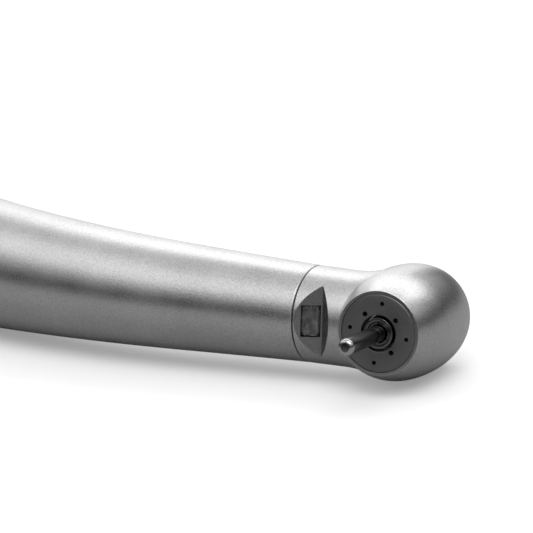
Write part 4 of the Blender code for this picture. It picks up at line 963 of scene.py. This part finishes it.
def neck_passages(steps):
    """Seats for the tubes and the light guide, and drillings to the turbine chamber and the spray holes."""
    behind = SPIGOT_END + CUT_BEYOND
    into_seat = TUBE_SEAT_POSITION + DRILLING_OVERLAP
    seats = [(tube, TUBE_SEAT_POSITION) for tube in (DRIVE_TUBE, WATER_TUBE, CHIP_AIR_TUBE)]
    seats.append((LIGHT_GUIDE, LIGHT_GUIDE_START - LIGHT_GUIDE[1] / 2))
    passages = [bore((*tube_place(*tube), start), (*tube_place(*tube), behind), tube[1] + TUBE_GAP, steps)
                for tube, start in seats]
    passages.append(bore((*tube_place(*DRIVE_TUBE), into_seat), DRIVE_NOZZLE_END, DRIVE_NOZZLE_RADIUS, steps))
    passages.append(bore((*tube_place(*EXHAUST), behind), EXHAUST_END, EXHAUST[1], steps))
    exit_bur_side, exit_up, exit_position = SPRAY_EXIT
    for tube, side in ((WATER_TUBE, 1), (CHIP_AIR_TUBE, -1)):
        bur_side, up = tube_place(*tube)
        passages.append(bore((bur_side, up, into_seat), (bur_side, up, SPRAY_CORNER), SPRAY_RADIUS, steps))
        passages.append(bore((bur_side - SPRAY_RADIUS / 2, up, SPRAY_CORNER),
                             (exit_bur_side, side * exit_up, exit_position), SPRAY_RADIUS, steps))
    return passages


def handle_tube(tube, start, end, wall, steps):
    """Tube, or a rod where the wall is 0, that follows the handle's curve beside its axis."""
    angle, radius = tube
    profile = [(radius, station) for station in [end, *spread(BEND_END, BEND_START, count=24), start]]
    if wall:
        profile += [(radius - wall, station) for _, station in reversed(profile)]
    else:
        profile = solid(profile)
    return moved(turn_profile(profile, steps), Matrix.Translation((*tube_place(angle, radius), 0)))


class HANDPIECE_OT_finishes(bpy.types.Operator):
    """Make every finish and give the CAD nodes theirs"""
    bl_idname = "handpiece.finishes"
    bl_label = "Finishes"

    def execute(self, context):
        packed = {name: node.data.materials[0].name.split(".")[0] for name, node in frame["nodes"].items()}
        for material in list(bpy.data.materials):
            material.name = "packed_" + material.name
        finish = context.scene.handpiece_finish
        for name, settings in DRIFTING.items():
            drifting(finish, name, **settings)
        for make in OTHER_FINISHES:
            make(finish)
        for name, node in frame["nodes"].items():
            node.data.materials.clear()
            node.data.materials.append(bpy.data.materials[packed[name]])
        return {"FINISHED"}


class HANDPIECE_OT_head_housing(bpy.types.Operator):
    """Model the head, neck and spigot as one housing with the light notch and the window's pocket"""
    bl_idname = "handpiece.head_housing"
    bl_label = "Head Housing"

    def execute(self, context):
        detail = context.scene.handpiece_detail
        steps = detail.turn_steps
        heights = spread(HOUSING_TOP, HEAD_WIDE_HEIGHT, count=20)
        heights += spread(HEAD_WIDE_HEIGHT, 2 * RIM_ROUNDING, count=36)[1:]
        profile = [(head_radius(height), height) for height in heights]
        rim_centre = head_radius(RIM_ROUNDING) - RIM_ROUNDING, RIM_ROUNDING
        profile += arc(rim_centre, RIM_ROUNDING, 0, -pi / 2, count=5)
        to_head = HEAD.inverted() @ NECK
        housing = combine(turn_profile(solid(profile), steps), moved(neck_shape(steps), to_head), "UNION")
        pocket = block((WINDOW_LENGTH, WINDOW_WIDTH, 2 * WINDOW_POCKET_DEPTH), (0, 0, 0))
        for cutter in [notch_shape(), moved(pocket, WINDOW_IN_NECK), *neck_passages(detail.bore_steps)]:
            housing = combine(housing, moved(cutter, to_head))
        cavity = stairs(HOUSING_TOP + CUT_BEYOND, (CHAMBER_RADIUS, CHAMBER_FLOOR),
                        (BEARING_BORE_RADIUS, PLATE_THICKNESS + PLATE_GAP), (PLATE_BORE_RADIUS, -CUT_BEYOND))
        housing = combine(housing, turn_profile(solid(cavity), steps))
        # The notch's floor and front facet and the rim's face get the darker satin copy: painted shade
        for half_size, place in (((NOTCH_REACH, SEAM_RADIUS), to_head @ WINDOW_IN_NECK),
                                 ((NOTCH_REACH, SEAM_RADIUS), to_head @ NOTCH_FRONT_IN_NECK),
                                 ((HEAD_RIM_RADIUS, HEAD_RIM_RADIUS), Matrix())):
            give_flat_finish(housing, 1, half_size, 0, place)
        # The pocket's walls and floor get the dark finish: painted shade
        give_finish(housing, 2, (WINDOW_LENGTH / 2 + MERGE_DISTANCE, WINDOW_WIDTH / 2 + MERGE_DISTANCE),
                    -WINDOW_POCKET_DEPTH - MERGE_DISTANCE, -MERGE_DISTANCE, to_head @ WINDOW_IN_NECK)
        finish_piece("housing_shell", housing, HEAD, "satin_steel notch_satin pocket_dark", "housing",
                     "head_housing")
        return {"FINISHED"}


class HANDPIECE_OT_light_window(bpy.types.Operator):
    """Model the glass of the light window, with rounded corners and edges"""
    bl_idname = "handpiece.light_window"
    bl_label = "Light Window"

    def execute(self, context):
        rounding = context.scene.handpiece_detail.window_rounding
        back = -WINDOW_RECESS - WINDOW_THICKNESS
        glass = block((WINDOW_LENGTH - WINDOW_GAP, WINDOW_WIDTH - WINDOW_GAP, WINDOW_THICKNESS),
                      (0, 0, back + WINDOW_THICKNESS / 2))
        upright = [edge for edge in glass.edges
                   if abs(edge.verts[0].co.z - edge.verts[1].co.z) > WINDOW_THICKNESS / 2]
        bevel(glass, upright, rounding, segments=8)
        round_edges(glass, rounding / 3, segments=5, sharper_than=radians(60))
        give_flat_finish(glass, 1, (WINDOW_LENGTH, WINDOW_WIDTH), back)
        finish_piece("window_glass", glass, WINDOW, "clear_glass guide_fibres", "housing", "light_window")
        return {"FINISHED"}


class HANDPIECE_OT_face_plate(bpy.types.Operator):
    """Model the dark face plate with its two circles of spray holes"""
    bl_idname = "handpiece.face_plate"
    bl_label = "Face Plate"

    def execute(self, context):
        detail = context.scene.handpiece_detail
        outline = stairs(PLATE_THICKNESS, (PLATE_BORE_RADIUS - PLATE_GAP, 0),
                         (NOSE_OPENING_RADIUS, PLATE_THICKNESS))
        plate = turn_profile(outline, detail.turn_steps, 3 * detail.edge_rounding)
        for circle, radius, offset in SPRAY_HOLES:
            for i in range(HOLES_PER_CIRCLE):
                angle = HOLE_PATTERN_TURN + 2 * pi * (i + offset) / HOLES_PER_CIRCLE
                place = circle * cos(angle), circle * sin(angle)
                plate = through_hole(plate, place, 0, PLATE_THICKNESS, radius, detail.bore_steps)
        finish_piece("spray_face_plate", plate, HEAD, "dark_plate", "housing", "face_plate")
        return {"FINISHED"}


class HANDPIECE_OT_rotor(bpy.types.Operator):
    """Model the spindle, its collet and the bur blank that the collet holds"""
    bl_idname = "handpiece.rotor"
    bl_label = "Spindle, Collet and Bur Blank"

    def execute(self, context):
        detail = context.scene.handpiece_detail
        steps, rounding = detail.turn_steps, detail.edge_rounding
        outline = stairs(SPINDLE_REAR, (SPINDLE_RADIUS, FRONT_BEARING_HEIGHT - NOSE_TO_BEARING),
                         (NOSE_RADIUS, -NOSE_STAND_OUT), (SPINDLE_BORE, SPINDLE_REAR))
        finish_turned("spindle_turned", outline, steps, rounding, HEAD, "nose_steel", "rotor", "spindle")
        low, rear = COLLET_RECESS, COLLET_RECESS + COLLET_LENGTH
        inner, outer = PIN_RADIUS + SEAT_GAP, SPINDLE_BORE - SEAT_GAP
        outline = [(outer, rear), (outer, low), (inner + COLLET_MOUTH_CHAMFER, low),
                   (inner, low + 2 * COLLET_MOUTH_CHAMFER), (inner, rear)]
        collet = turn_profile(outline, steps, rounding / 2)
        for i in range(COLLET_SLOTS):
            slot = block((SPINDLE_BORE, COLLET_SLOT_WIDTH, 2 * COLLET_SLOT_LENGTH), (PIN_RADIUS, 0, low))
            turn = Matrix.Rotation(2 * pi * (i + COLLET_SLOT_SHIFT) / COLLET_SLOTS, 4, "Z")
            collet = combine(collet, moved(slot, turn))
        # The collet, recessed in the spindle's bore, gets the darker copy: painted shade
        finish_piece("collet_slotted", collet, HEAD, "collet_steel", "rotor", "collet")
        round_centre = PIN_RADIUS - PIN_ROUNDING, PIN_ROUNDING - PIN_REACH
        outline = [(PIN_RADIUS, PIN_INSERTION), *arc(round_centre, PIN_ROUNDING, 0, -pi / 2, count=9)]
        blank = turn_profile(solid(outline), steps, rounding)
        # The shank keeps the darkened steel, painted shade; the rounded end gets the lighter copy
        give_finish(blank, 1, (2 * PIN_RADIUS, 2 * PIN_RADIUS), MERGE_DISTANCE - PIN_REACH,
                    PIN_ROUNDING - PIN_REACH)
        finish_piece("bur_blank_pin", blank, HEAD, "pin_steel pin_end", "bur_blank", "test_pin")
        return {"FINISHED"}


class HANDPIECE_OT_impeller(bpy.types.Operator):
    """Model the impeller: a hub with a ring of curved buckets"""
    bl_idname = "handpiece.impeller"
    bl_label = "Impeller"

    def execute(self, context):
        rear = IMPELLER_FRONT + IMPELLER_WIDTH
        hub = stairs(rear, (IMPELLER_HUB_RADIUS, IMPELLER_FRONT), (SPINDLE_RADIUS + SEAT_GAP, rear))
        impeller = turn_profile(hub, context.scene.handpiece_detail.small_steps)
        for i in range(BLADE_COUNT):
            impeller = combine(impeller, thickened(self.blade(i), BLADE_THICKNESS), "UNION")
        finish_piece("impeller_buckets", impeller, HEAD, "rotor_alloy", "rotor", "impeller")
        return {"FINISHED"}

    def blade(self, index):
        """One bucket: a sheet swept back towards its tip and bowed across the air stream."""
        bm = bmesh.new()
        bmesh.ops.create_grid(bm, x_segments=BLADE_SEGMENTS, y_segments=BLADE_SEGMENTS, size=0.5)
        root = IMPELLER_HUB_RADIUS - BLADE_ROOT_DEPTH
        tip = CHAMBER_RADIUS - IMPELLER_TIP_GAP
        middle = IMPELLER_FRONT + IMPELLER_WIDTH / 2
        half_width = IMPELLER_WIDTH / 2 - BLADE_SIDE_STEP
        for vertex in bm.verts:
            out, across = vertex.co.x + 0.5, 2 * vertex.co.y
            radius = root + (tip - root) * out
            bend = BLADE_BOW * out * (across ** 2 - 1) - BLADE_SWEEP * out ** 2
            angle = 2 * pi * index / BLADE_COUNT + bend
            vertex.co = (radius * cos(angle), radius * sin(angle), middle + half_width * across)
        return bm


class HANDPIECE_OT_bearings(bpy.types.Operator):
    """Model both ball bearings, their sealing rings, the rear cup and the wavy washer"""
    bl_idname = "handpiece.bearings"
    bl_label = "Ball Bearings"

    def execute(self, context):
        detail = context.scene.handpiece_detail
        steps, rounding = detail.small_steps, detail.edge_rounding
        for where, low in (("front", FRONT_BEARING_HEIGHT), ("rear", REAR_BEARING_HEIGHT)):
            self.races(where, low, steps, rounding)
            middle = low + BEARING_WIDTH / 2
            self.cage(where, middle, detail)
            self.sealing_ring(f"{where}_o_ring", BEARING_OUTSIDE + SEAT_GAP,
                              BEARING_BORE_RADIUS - 2 * SEAT_GAP, middle, HEAD, steps)
        self.sealing_ring("neck_seal", SPIGOT_RADIUS - SEAL_THICKNESS + 3 * SEAT_GAP,
                          SPIGOT_RADIUS + TUBE_GAP - SEAT_GAP, SEAL_POSITION, NECK, detail.turn_steps)
        cup_rear = CAP_FRONT - CUP_GAP
        outline = stairs(cup_rear, (CUP_RADIUS, REAR_BEARING_HEIGHT - CUP_GAP),
                         (BEARING_BORE_RADIUS, cup_rear))
        finish_turned("bearing_cup_turned", outline, steps, rounding, HEAD, "bright_steel", "housing",
                      "bearing_cup")
        front = (REAR_BEARING_HEIGHT + BEARING_WIDTH + CAP_FRONT - WASHER_THICKNESS) / 2
        rear = front + WASHER_THICKNESS
        outline = stairs(rear, (BEARING_OUTSIDE, front), (PITCH_RADIUS + SHOULDER_OFFSET, rear))
        washer = turn_profile(outline, steps, rounding / 2)
        for vertex in washer.verts:
            vertex.co.z += WASHER_WAVE * cos(WASHER_WAVES * atan2(vertex.co.y, vertex.co.x))
        finish_piece("preload_washer_wavy", washer, HEAD, "bright_steel", "housing", "preload_washer")
        return {"FINISHED"}

    def races(self, where, low, steps, rounding):
        middle, high = low + BEARING_WIDTH / 2, low + BEARING_WIDTH
        bore_radius = SPINDLE_RADIUS + SEAT_GAP
        for side, radius, body in (("outer", BEARING_OUTSIDE, "housing"), ("inner", bore_radius, "rotor")):
            outward = 1 if side == "outer" else -1
            shoulder = PITCH_RADIUS + outward * SHOULDER_OFFSET
            outline = [(radius, high), (radius, low), (shoulder, low), *groove(middle, outward),
                       (shoulder, high)]
            node = f"{where}_{side}_race"
            finish_turned(f"{node}_ground", outline, steps, rounding, HEAD, "race_steel", body, node)

    def cage(self, where, middle, detail):
        """Cage with a round pocket for each ball, and the balls."""
        half = SHOULDER_OFFSET - CAGE_CLEARANCE
        front, rear = middle - CAGE_WIDTH / 2, middle + CAGE_WIDTH / 2
        outline = stairs(rear, (PITCH_RADIUS + half, front), (PITCH_RADIUS - half, rear))
        cage = turn_profile(outline, detail.small_steps, detail.edge_rounding)
        body = f"{where}_ball_cage"
        for i in range(BALL_COUNT):
            outward = Vector((cos(2 * pi * i / BALL_COUNT), sin(2 * pi * i / BALL_COUNT), 0.0))
            centre = Vector((0, 0, middle)) + outward * PITCH_RADIUS
            through = outward * (half + CUT_BEYOND)
            cage = combine(cage, bore(centre - through, centre + through, BALL_RADIUS + POCKET_CLEARANCE,
                                      detail.bore_steps))
            ball = bmesh.new()
            bmesh.ops.create_icosphere(ball, subdivisions=4, radius=BALL_RADIUS,
                                       matrix=Matrix.Translation(centre))
            node = f"{where}_ball_{i + 1}"
            finish_piece(f"{node}_round", ball, HEAD, "ball_ceramic", body, node)
        finish_piece(f"{where}_cage_bored", cage, HEAD, "cage_polymer", body, f"{where}_cage")

    def sealing_ring(self, node, inner, outer, height, place, steps):
        thickness = (outer - inner) / 2
        profile = arc((inner + thickness, height), thickness, pi / 2, -3 * pi / 2, count=19)[:-1]
        finish_piece(f"{node}_round", turn_profile(profile, steps), place, "seal_rubber", "housing", node)


class HANDPIECE_OT_chuck(bpy.types.Operator):
    """Model the chuck's pusher and the coil spring under the push button"""
    bl_idname = "handpiece.chuck"
    bl_label = "Chuck Pusher and Button Spring"

    def execute(self, context):
        detail = context.scene.handpiece_detail
        outline = stairs(PUSHER_TOP, (SPINDLE_BORE - PUSHER_CLEARANCE, PUSHER_FRONT + PUSHER_TIP_LENGTH),
                         (PIN_RADIUS, PUSHER_FRONT))
        finish_turned("chuck_pusher_turned", solid(outline), detail.small_steps, 2 * detail.edge_rounding,
                      HEAD, "bright_steel", "pusher", "chuck_pusher")
        low = CAP_FRONT + CAP_WEB + SPRING_WIRE_RADIUS + TUBE_GAP
        high = BUTTON_CEILING - SPRING_WIRE_RADIUS - TUBE_GAP
        spring = coil(SPRING_WIRE_RADIUS, SPRING_RADIUS, 0.0, 2 * pi * SPRING_TURNS, high - low,
                      int(detail.bore_steps * SPRING_TURNS))
        spring = moved(spring, Matrix.Translation((0, 0, low)))
        piece = finish_piece("button_spring_coil", spring, HEAD, "bright_steel", "housing", "button_spring")
        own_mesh(piece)
        return {"FINISHED"}


class HANDPIECE_OT_back_cap(bpy.types.Operator):
    """Model the cap that closes the head and the push button in it"""
    bl_idname = "handpiece.back_cap"
    bl_label = "Back Cap and Push Button"

    def execute(self, context):
        detail = context.scene.handpiece_detail
        steps, rounding = detail.turn_steps, 2 * detail.edge_rounding
        seam = HOUSING_TOP + SEAM_GAP
        profile = [(head_radius(height), height) for height in spread(HEAD_BACK_HEIGHT, seam, count=18)]
        profile += stairs(seam, (CUP_RADIUS, CAP_FRONT), (CAP_WEB_OPENING, CAP_FRONT + CAP_WEB),
                          (CAP_POCKET_RADIUS, CAP_LIP_HEIGHT), (BUTTON_RADIUS + BUTTON_GAP, HEAD_BACK_HEIGHT))
        finish_turned("back_cap_turned", profile, steps, rounding, HEAD, "satin_steel", "housing", "back_cap")
        flange_top = CAP_LIP_HEIGHT - BUTTON_LIP_GAP
        flange_low = flange_top - BUTTON_FLANGE_THICKNESS
        profile = [(BUTTON_RADIUS * share, BUTTON_TOP - BUTTON_DOME * share ** 2)
                   for share in spread(0, 1, count=14)]
        profile.append((BUTTON_RADIUS, flange_top))
        profile += stairs(flange_top, (BUTTON_FLANGE_RADIUS, flange_low),
                          (BUTTON_RADIUS, flange_low - BUTTON_SKIRT),
                          (BUTTON_RADIUS - BUTTON_WALL, BUTTON_CEILING),
                          (BUTTON_BOSS_RADIUS, BUTTON_BOSS_END))
        profile.append((0, BUTTON_BOSS_END))
        finish_turned("push_button_turned", profile, steps, rounding, HEAD, "satin_steel", "button",
                      "push_button")
        return {"FINISHED"}


class HANDPIECE_OT_handle(bpy.types.Operator):
    """Model the curved handle sleeve, the grip with its finger grooves and the rear collar"""
    bl_idname = "handpiece.handle"
    bl_label = "Handle Shells"

    def execute(self, context):
        detail = context.scene.handpiece_detail
        steps, rounding = detail.turn_steps, detail.edge_rounding
        front = SEAM_POSITION + SEAM_GAP / 2
        profile = stairs(SLEEVE_SPIGOT_END, (SLEEVE_SPIGOT_RADIUS, GRIP_START))
        profile += [(handle_radius(position), position)
                    for position in spread(GRIP_START, front + SEAM_CHAMFER, count=90)]
        profile.append((SEAM_RADIUS - SEAM_CHAMFER, front))
        profile += stairs(front, (SPIGOT_RADIUS + TUBE_GAP, SPIGOT_END))
        profile += [(handle_radius(position) - SLEEVE_WALL, position)
                    for position in spread(SLEEVE_BORE_START, BEND_END, count=40)]
        profile += stairs(BEND_END + SLEEVE_TAPER_LENGTH, (SLEEVE_SPIGOT_BORE, SLEEVE_SPIGOT_END))
        sleeve = bend_along_handle(turn_profile(profile, steps, rounding))
        finish_piece("handle_sleeve_curved", sleeve, AT_REST, "satin_steel", "housing", "handle_sleeve")
        profile = [(GRIP_RADIUS, GRIP_END)]
        for i in reversed(range(GROOVE_COUNT)):
            middle = GROOVE_FIRST + i * GROOVE_PITCH
            for run in spread(GROOVE_WIDTH / 2, -GROOVE_WIDTH / 2, count=13):
                depth = GROOVE_DEPTH * (1 + cos(2 * pi * run / GROOVE_WIDTH)) / 2
                profile.append((GRIP_RADIUS - depth, middle + run))
        front = GRIP_START + SEAM_GAP
        profile += [(GRIP_RADIUS, front), (GRIP_BORE, front), (GRIP_BORE, GRIP_END)]
        finish_turned("grip_grooved", profile, steps, 4 * rounding, REAR, "satin_steel", "housing",
                      "grip_sleeve")
        rear = HANDLE_END - COLLAR_SETBACK
        profile = [(COLLAR_REAR_RADIUS, rear)]
        profile += stairs(rear - COLLAR_TAPER_LENGTH, (GRIP_RADIUS, GRIP_END + SEAM_GAP), (GRIP_BORE, rear))
        finish_turned("rear_collar_tapered", profile, steps, 4 * rounding, REAR, "satin_steel", "housing",
                      "rear_collar")
        return {"FINISHED"}


class HANDPIECE_OT_coupling(bpy.types.Operator):
    """Model the stepped coupling socket and its snap ring"""
    bl_idname = "handpiece.coupling"
    bl_label = "Coupling Socket"

    def execute(self, context):
        detail = context.scene.handpiece_detail
        steps = detail.turn_steps
        groove_radius = SOCKET_MOUTH_RADIUS + SNAP_GROOVE_DEPTH
        half_groove = SNAP_GROOVE_WIDTH / 2
        outline = stairs(HANDLE_END, (GRIP_BORE - TUBE_GAP, SOCKET_FRONT), (0, SOCKET_WALL_END),
                         (SOCKET_BOTTOM_RADIUS, SOCKET_BOTTOM_END), (SOCKET_MIDDLE_RADIUS, SOCKET_MIDDLE_END),
                         (SOCKET_MOUTH_RADIUS, SNAP_GROOVE_POSITION - half_groove),
                         (groove_radius, SNAP_GROOVE_POSITION + half_groove),
                         (SOCKET_MOUTH_RADIUS, HANDLE_END))
        socket = turn_profile(outline, steps, detail.edge_rounding)
        socket = drilled_for_tubes(socket, SOCKET_FRONT, SOCKET_WALL_END, detail.bore_steps)
        finish_piece("coupling_socket_bored", socket, REAR, "socket_steel", "housing", "coupling_socket")
        wire = half_groove - TUBE_GAP
        snap = coil(wire, groove_radius - wire - TUBE_GAP, SNAP_RING_OPENING / 2,
                    2 * pi - SNAP_RING_OPENING, 0.0, steps)
        snap = moved(snap, Matrix.Translation((0, 0, SNAP_GROOVE_POSITION)))
        finish_piece("snap_ring_wire", snap, REAR, "bright_steel", "housing", "snap_ring")
        return {"FINISHED"}


class HANDPIECE_OT_tubes(bpy.types.Operator):
    """Model the air and water tubes, the light guide and the clamps that hold them inside the handle"""
    bl_idname = "handpiece.tubes"
    bl_label = "Tubes, Light Guide and Clamps"

    def execute(self, context):
        detail = context.scene.handpiece_detail
        for node, tube in (("drive_air_tube", DRIVE_TUBE), ("water_tube", WATER_TUBE),
                           ("chip_air_tube", CHIP_AIR_TUBE)):
            pipe = handle_tube(tube, TUBE_FRONT, TUBE_REAR, TUBE_WALL, detail.bore_steps)
            finish_piece(f"{node}_drawn", bend_along_handle(pipe), AT_REST, "tube_brass", "housing", node)
        guide = handle_tube(LIGHT_GUIDE, LIGHT_GUIDE_START, TUBE_REAR, 0, detail.bore_steps)
        for end in (LIGHT_GUIDE_START, TUBE_REAR):
            give_flat_finish(guide, 1, (SPIGOT_RADIUS, SPIGOT_RADIUS), end)
        finish_piece("light_guide_rod", bend_along_handle(guide), AT_REST, "clear_glass guide_fibres",
                     "housing", "light_guide")
        for node, front, bore_radius, place in (
                ("front_tube_clamp", FRONT_CLAMP, handle_radius(FRONT_CLAMP) - SLEEVE_WALL, NECK),
                ("middle_tube_clamp", MIDDLE_CLAMP, SLEEVE_SPIGOT_BORE, REAR)):
            rear = front + CLAMP_THICKNESS
            outline = solid(stairs(rear, (bore_radius - TUBE_GAP, front)))
            clamp = turn_profile(outline, detail.turn_steps, 4 * detail.edge_rounding)
            clamp = drilled_for_tubes(clamp, front, rear, detail.bore_steps)
            finish_piece(f"{node}_bored", clamp, place, "clamp_polymer", "housing", node)
        return {"FINISHED"}


# Stage

LIGHTS = (
    # name, power's property, width, height, angle round the object from the front, elevation
    ("key_light", "key_power", 0.4, 0.4, radians(55), radians(52)),
    ("back_light", "back_power", 0.78, 0.3, radians(-160), radians(48)),
    ("window_light", "window_power", 0.37, 0.3, radians(-132), radians(15)),
    ("front_light", "front_power", 0.69, 0.28, radians(-35), radians(46)),
)


def direction(around, elevation):
    """Unit vector at an angle round the object from the front, towards the head, and an elevation."""
    return Vector((sin(around) * cos(elevation), -cos(around) * cos(elevation), sin(elevation)))


def floor_paper(stage):
    """Pale paper with a faint tooth, which glows white for the camera and shows greyer in metal, a painted
    shade in its reflection; it glows less near the object, a painted shade round it.
    """
    made = Shading("floor_paper", stage.floor_colour, 0.9, metallic=0.0)
    # Metal sees the floor at a share of its colour: painted shade in the floor's reflection
    in_metal = made.node("LightPath", {})["Is Glossy Ray"]
    made.shade_colour(in_metal, dark=1.0, light=stage.floor_in_metal)
    # The glow rises with distance from the object: near it the floor is darker, a painted shade that deepens
    # the object's shadow
    away = made.node("VectorMath", {0: made.place()}, operation="LENGTH")["Value"]
    glow = made.map(away, stage.floor_glow, FAR_FLOOR_GLOW, GLOW_RISE_START, GLOW_RISE_END)
    made.shade(**{"Specular IOR Level": 0.0, "Emission Color": WHITE,
                  "Emission Strength": made.math(made.white_background(0.0), glow)})
    made.bump(made.noise(0.4 * MM), depth=0.01 * MM, strength=0.2)
    return made.material


class HANDPIECE_OT_stage(bpy.types.Operator):
    """Lay the pale floor, set the lights and the world, and place the camera"""
    bl_idname = "handpiece.stage"
    bl_label = "Stage, Lights and Camera"

    def execute(self, context):
        stage = context.scene.handpiece_stage
        bm = bmesh.new()
        bmesh.ops.create_grid(bm, x_segments=8, y_segments=8, size=stage.floor_size / 2)
        middle = stage.floor_size / 2 - stage.floor_front
        floor = to_object("floor", moved(bm, Matrix.Translation((0, middle, CAD_BOX[0].z - FLOOR_DROP))))
        floor.data.materials.append(floor_paper(stage))
        for name, power, width, height, around, elevation in LIGHTS:
            data = bpy.data.lights.new(name, "AREA")
            data.shape = "RECTANGLE"
            data.size, data.size_y = width, height
            data.energy = getattr(stage, power)
            light = linked(name, data)
            outward = direction(around, elevation)
            light.location = outward * LIGHT_DISTANCE
            light.rotation_euler = outward.to_track_quat("Z", "Y").to_euler()
            light.visible_camera = False
        self.set_world(context.scene, stage.horizon_in_metal)
        self.set_camera(context.scene, stage)
        context.scene.view_settings.view_transform = "Standard"
        return {"FINISHED"}

    def set_world(self, scene, horizon):
        """White background, which metal shows dimly at the horizon and nearly white from a soft sky above."""
        scene.world = bpy.data.worlds.new("studio")
        scene.world.use_nodes = True
        tree = Nodes(scene.world.node_tree)
        height = tree.node("SeparateXYZ", {"Vector": tree.node("TexCoord", {})["Generated"]})["Z"]
        sky = tree.map(height, horizon, SKY_BRIGHTNESS, *SKY_RISE, interpolation_type="SMOOTHSTEP")
        background = tree.math(tree.white_background(horizon), sky, "MAXIMUM")
        tree.feed(tree.tree.nodes["Background"], {"Color": WHITE, "Strength": background})

    def set_camera(self, scene, stage):
        data = bpy.data.cameras.new("camera")
        data.sensor_width = SENSOR_WIDTH
        data.lens = stage.focal_length
        data.clip_start, data.clip_end = CLIP_RANGE
        camera = linked("camera", data)
        back = direction(VIEW_AZIMUTH, VIEW_ELEVATION)
        camera.location = HEAD.to_translation() + VIEW_AIM + back * stage.camera_distance
        turn = back.to_track_quat("Z", "Y").to_matrix() @ Matrix.Rotation(VIEW_ROLL, 3, "Z")
        camera.rotation_euler = turn.to_euler()
        scene.camera = camera


# Panel and registration

PIECE_OPERATORS = (HANDPIECE_OT_finishes, HANDPIECE_OT_head_housing, HANDPIECE_OT_light_window,
                   HANDPIECE_OT_face_plate, HANDPIECE_OT_rotor, HANDPIECE_OT_impeller, HANDPIECE_OT_bearings,
                   HANDPIECE_OT_chuck, HANDPIECE_OT_back_cap, HANDPIECE_OT_handle, HANDPIECE_OT_coupling,
                   HANDPIECE_OT_tubes, HANDPIECE_OT_stage)


class HANDPIECE_PT_panel(bpy.types.Panel):
    """Lists the handpiece's sizes, finishes and pieces"""
    bl_idname = "HANDPIECE_PT_panel"
    bl_label = "Dental Turbine Handpiece"
    bl_space_type = "VIEW_3D"
    bl_region_type = "UI"
    bl_category = "Handpiece"

    def draw(self, context):
        layout = self.layout
        for group in (context.scene.handpiece_detail, context.scene.handpiece_finish,
                      context.scene.handpiece_stage):
            box = layout.box()
            for name in group.bl_rna.properties.keys():
                if name not in ("name", "rna_type"):
                    box.prop(group, name)
        for operator in PIECE_OPERATORS:
            layout.operator(operator.bl_idname)


GROUPS = {"handpiece_detail": HandpieceDetail, "handpiece_finish": HandpieceFinish,
          "handpiece_stage": HandpieceStage}
CLASSES = (*GROUPS.values(), *PIECE_OPERATORS, HANDPIECE_PT_panel)


def register():
    for cls in CLASSES:
        bpy.utils.register_class(cls)
    for name, group in GROUPS.items():
        setattr(bpy.types.Scene, name, PointerProperty(type=group))


def unregister():
    for name in GROUPS:
        delattr(bpy.types.Scene, name)
    for cls in reversed(CLASSES):
        bpy.utils.unregister_class(cls)


def main():
    register()
    for operator in PIECE_OPERATORS:
        category, name = operator.bl_idname.split(".")
        getattr(getattr(bpy.ops, category), name)()


if __name__ == "__main__":
    main()
